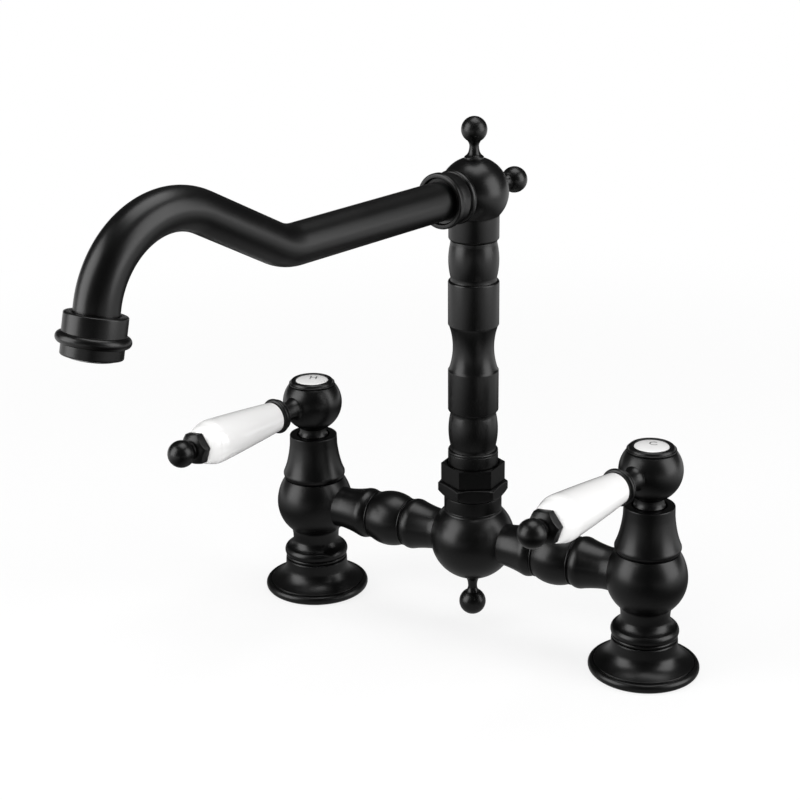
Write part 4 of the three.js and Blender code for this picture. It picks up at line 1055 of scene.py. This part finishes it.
def floorMaterial():
    # white to the camera; to gloss rays it is a glow and no lamp: painted highlights at both sides, a painted
    # reflection under the object, and painted shade in front
    material = bpy.data.materials.new("paleFloor")
    material.use_nodes = True
    tree = material.node_tree
    tree.nodes.clear()
    path = addNode(tree, "ShaderNodeLightPath", -900, 400)
    where = addNode(tree, "ShaderNodeTexCoord", -1200, -200)
    away = addNode(tree, "ShaderNodeVectorMath", -900, -100, operation="LENGTH")
    aside = addNode(tree, "ShaderNodeVectorMath", -900, -300, operation="DOT_PRODUCT")
    aside.inputs[1].default_value = floorPlan["sideways"]
    eitherSide = addNode(tree, "ShaderNodeMath", -700, -300, operation="ABSOLUTE")
    white = ranged(tree, away.outputs["Value"], cameraGlow, -500, 0)
    # painted light seen only by gloss rays: a painted reflection under the object and painted highlight
    # strips at its sides
    under = ranged(tree, away.outputs["Value"], paintedUnderReflection, -500, -200)
    beside = ranged(tree, eitherSide.outputs[0], paintedSideHighlights, -500, -400)
    paintedGlossLight = addNode(tree, "ShaderNodeMath", -250, -300, operation="MAXIMUM")
    strength = addNode(tree, "ShaderNodeMath", 0, -300, operation="MAXIMUM")
    seen = addNode(tree, "ShaderNodeMath", -250, 0, operation="MULTIPLY")
    share = addNode(tree, "ShaderNodeMath", 0, 0, operation="MAXIMUM")
    diffuse = addNode(tree, "ShaderNodeBsdfDiffuse", 250, 200)
    setInputs(diffuse, {"Color": grey(floorPlan["grey"])})
    glow = addNode(tree, "ShaderNodeEmission", 250, -200)
    setInputs(glow, {"Color": grey(1)})
    mix = addNode(tree, "ShaderNodeMixShader", 500, 0)
    output = addNode(tree, "ShaderNodeOutputMaterial", 750, 0)
    linkAll(
        tree,
        (where.outputs["Object"], away.inputs[0]), (where.outputs["Object"], aside.inputs[0]),
        (aside.outputs["Value"], eitherSide.inputs[0]),
        (under, paintedGlossLight.inputs[0]), (beside, paintedGlossLight.inputs[1]), (paintedGlossLight.outputs[0], strength.inputs[0]),
        (path.outputs["Is Camera Ray"], strength.inputs[1]), (strength.outputs[0], glow.inputs["Strength"]),
        (path.outputs["Is Camera Ray"], seen.inputs[0]), (white, seen.inputs[1]),
        (seen.outputs[0], share.inputs[0]), (path.outputs["Is Glossy Ray"], share.inputs[1]),
        (share.outputs[0], mix.inputs["Fac"]), (diffuse.outputs[0], mix.inputs[1]),
        (glow.outputs[0], mix.inputs[2]), (mix.outputs[0], output.inputs["Surface"]))
    return material


worldGlow = {"light": 0.04, "backdrop": 1}


def makeWorld():
    # dim to the object, white to the camera
    world = bpy.data.worlds.new("studioWorld")
    bpy.context.scene.world = world
    world.use_nodes = True
    tree = world.node_tree
    tree.nodes.clear()
    path = addNode(tree, "ShaderNodeLightPath", -400, 300)
    light = addNode(tree, "ShaderNodeBackground", 0, 100)
    setInputs(light, {"Color": grey(1), "Strength": worldGlow["light"]})
    backdrop = addNode(tree, "ShaderNodeBackground", 0, -100)
    setInputs(backdrop, {"Color": grey(1), "Strength": worldGlow["backdrop"]})
    mix = addNode(tree, "ShaderNodeMixShader", 300, 0)
    output = addNode(tree, "ShaderNodeOutputWorld", 600, 0)
    linkAll(
        tree,
        (path.outputs["Is Camera Ray"], mix.inputs["Fac"]), (light.outputs[0], mix.inputs[1]),
        (backdrop.outputs[0], mix.inputs[2]), (mix.outputs[0], output.inputs["Surface"]))


lampAim = (0, -0.05, 0.12)
lamps = {
    "leftSoftbox": {"spot": (-1.0, -1.13, 0.67), "size": (1.2, 1.7), "power": 25, "inGloss": True},
    "rightSoftbox": {"spot": (1.5, 0.3, 0.67), "size": (1.2, 1.7), "power": 22, "inGloss": True},
    "topSoftbox": {"spot": (0.05, 0.2, 1.6), "size": (1.1, 1.1), "power": 12.5, "inGloss": True},
    "frontFill": {"spot": (0.5, -1.2, 0.9), "size": (1.4, 1.2), "power": 12, "inGloss": False},
}


def makeLamp(name, spot, size, power, inGloss):
    data = bpy.data.lights.new(name, "AREA")
    data.shape = "RECTANGLE"
    data.size, data.size_y = size
    data.energy = power
    lamp = bpy.data.objects.new(name, data)
    bpy.context.scene.collection.objects.link(lamp)
    lamp.visible_glossy = inGloss
    lamp.location = spot
    lamp.rotation_euler = (Vector(lampAim) - Vector(spot)).to_track_quat("-Z", "Y").to_euler()


letGo()
bpy.ops.mesh.primitive_plane_add(size=floorPlan["size"])
floor = bpy.context.object
floor.name = "pale_floor"
floor.data.materials.append(floorMaterial())
makeWorld()
for name, lamp in lamps.items():
    makeLamp(name, **lamp)

# fitted to the photograph: focal and frame in pixels, angles in degrees, the rest in metres
cameraFit = {"focal": 1858.93, "frame": 800, "film": 36, "azimuth": 31.1465, "elevation": 20.0,
             "roll": -0.6132, "distance": 0.962, "aimHeight": 0.12, "right": -0.03788, "up": 0.00807,
             "farthest": 50}


def makeCamera():
    c = cameraFit
    azimuth, elevation, roll = (math.radians(c[key]) for key in ("azimuth", "elevation", "roll"))
    back = Vector((math.sin(azimuth) * math.cos(elevation), -math.cos(azimuth) * math.cos(elevation),
                   math.sin(elevation)))
    level = Vector((math.cos(azimuth), math.sin(azimuth), 0))
    upward = back.cross(level)
    right = level * math.cos(roll) + upward * math.sin(roll)
    top = upward * math.cos(roll) - level * math.sin(roll)
    spot = Vector((0, 0, c["aimHeight"])) + back * c["distance"] + right * c["right"] + top * c["up"]
    data = bpy.data.cameras.new("photoCamera")
    data.sensor_width = c["film"]
    data.lens = c["film"] * c["focal"] / c["frame"]
    data.clip_end = c["farthest"]
    camera = bpy.data.objects.new("photoCamera", data)
    bpy.context.scene.collection.objects.link(camera)
    camera.matrix_world = Matrix((
        (right.x, top.x, back.x, spot.x),
        (right.y, top.y, back.y, spot.y),
        (right.z, top.z, back.z, spot.z),
        (0, 0, 0, 1)))
    bpy.context.scene.camera = camera


makeCamera()
bpy.context.scene.view_settings.view_transform = "Standard"
print("studio ready")
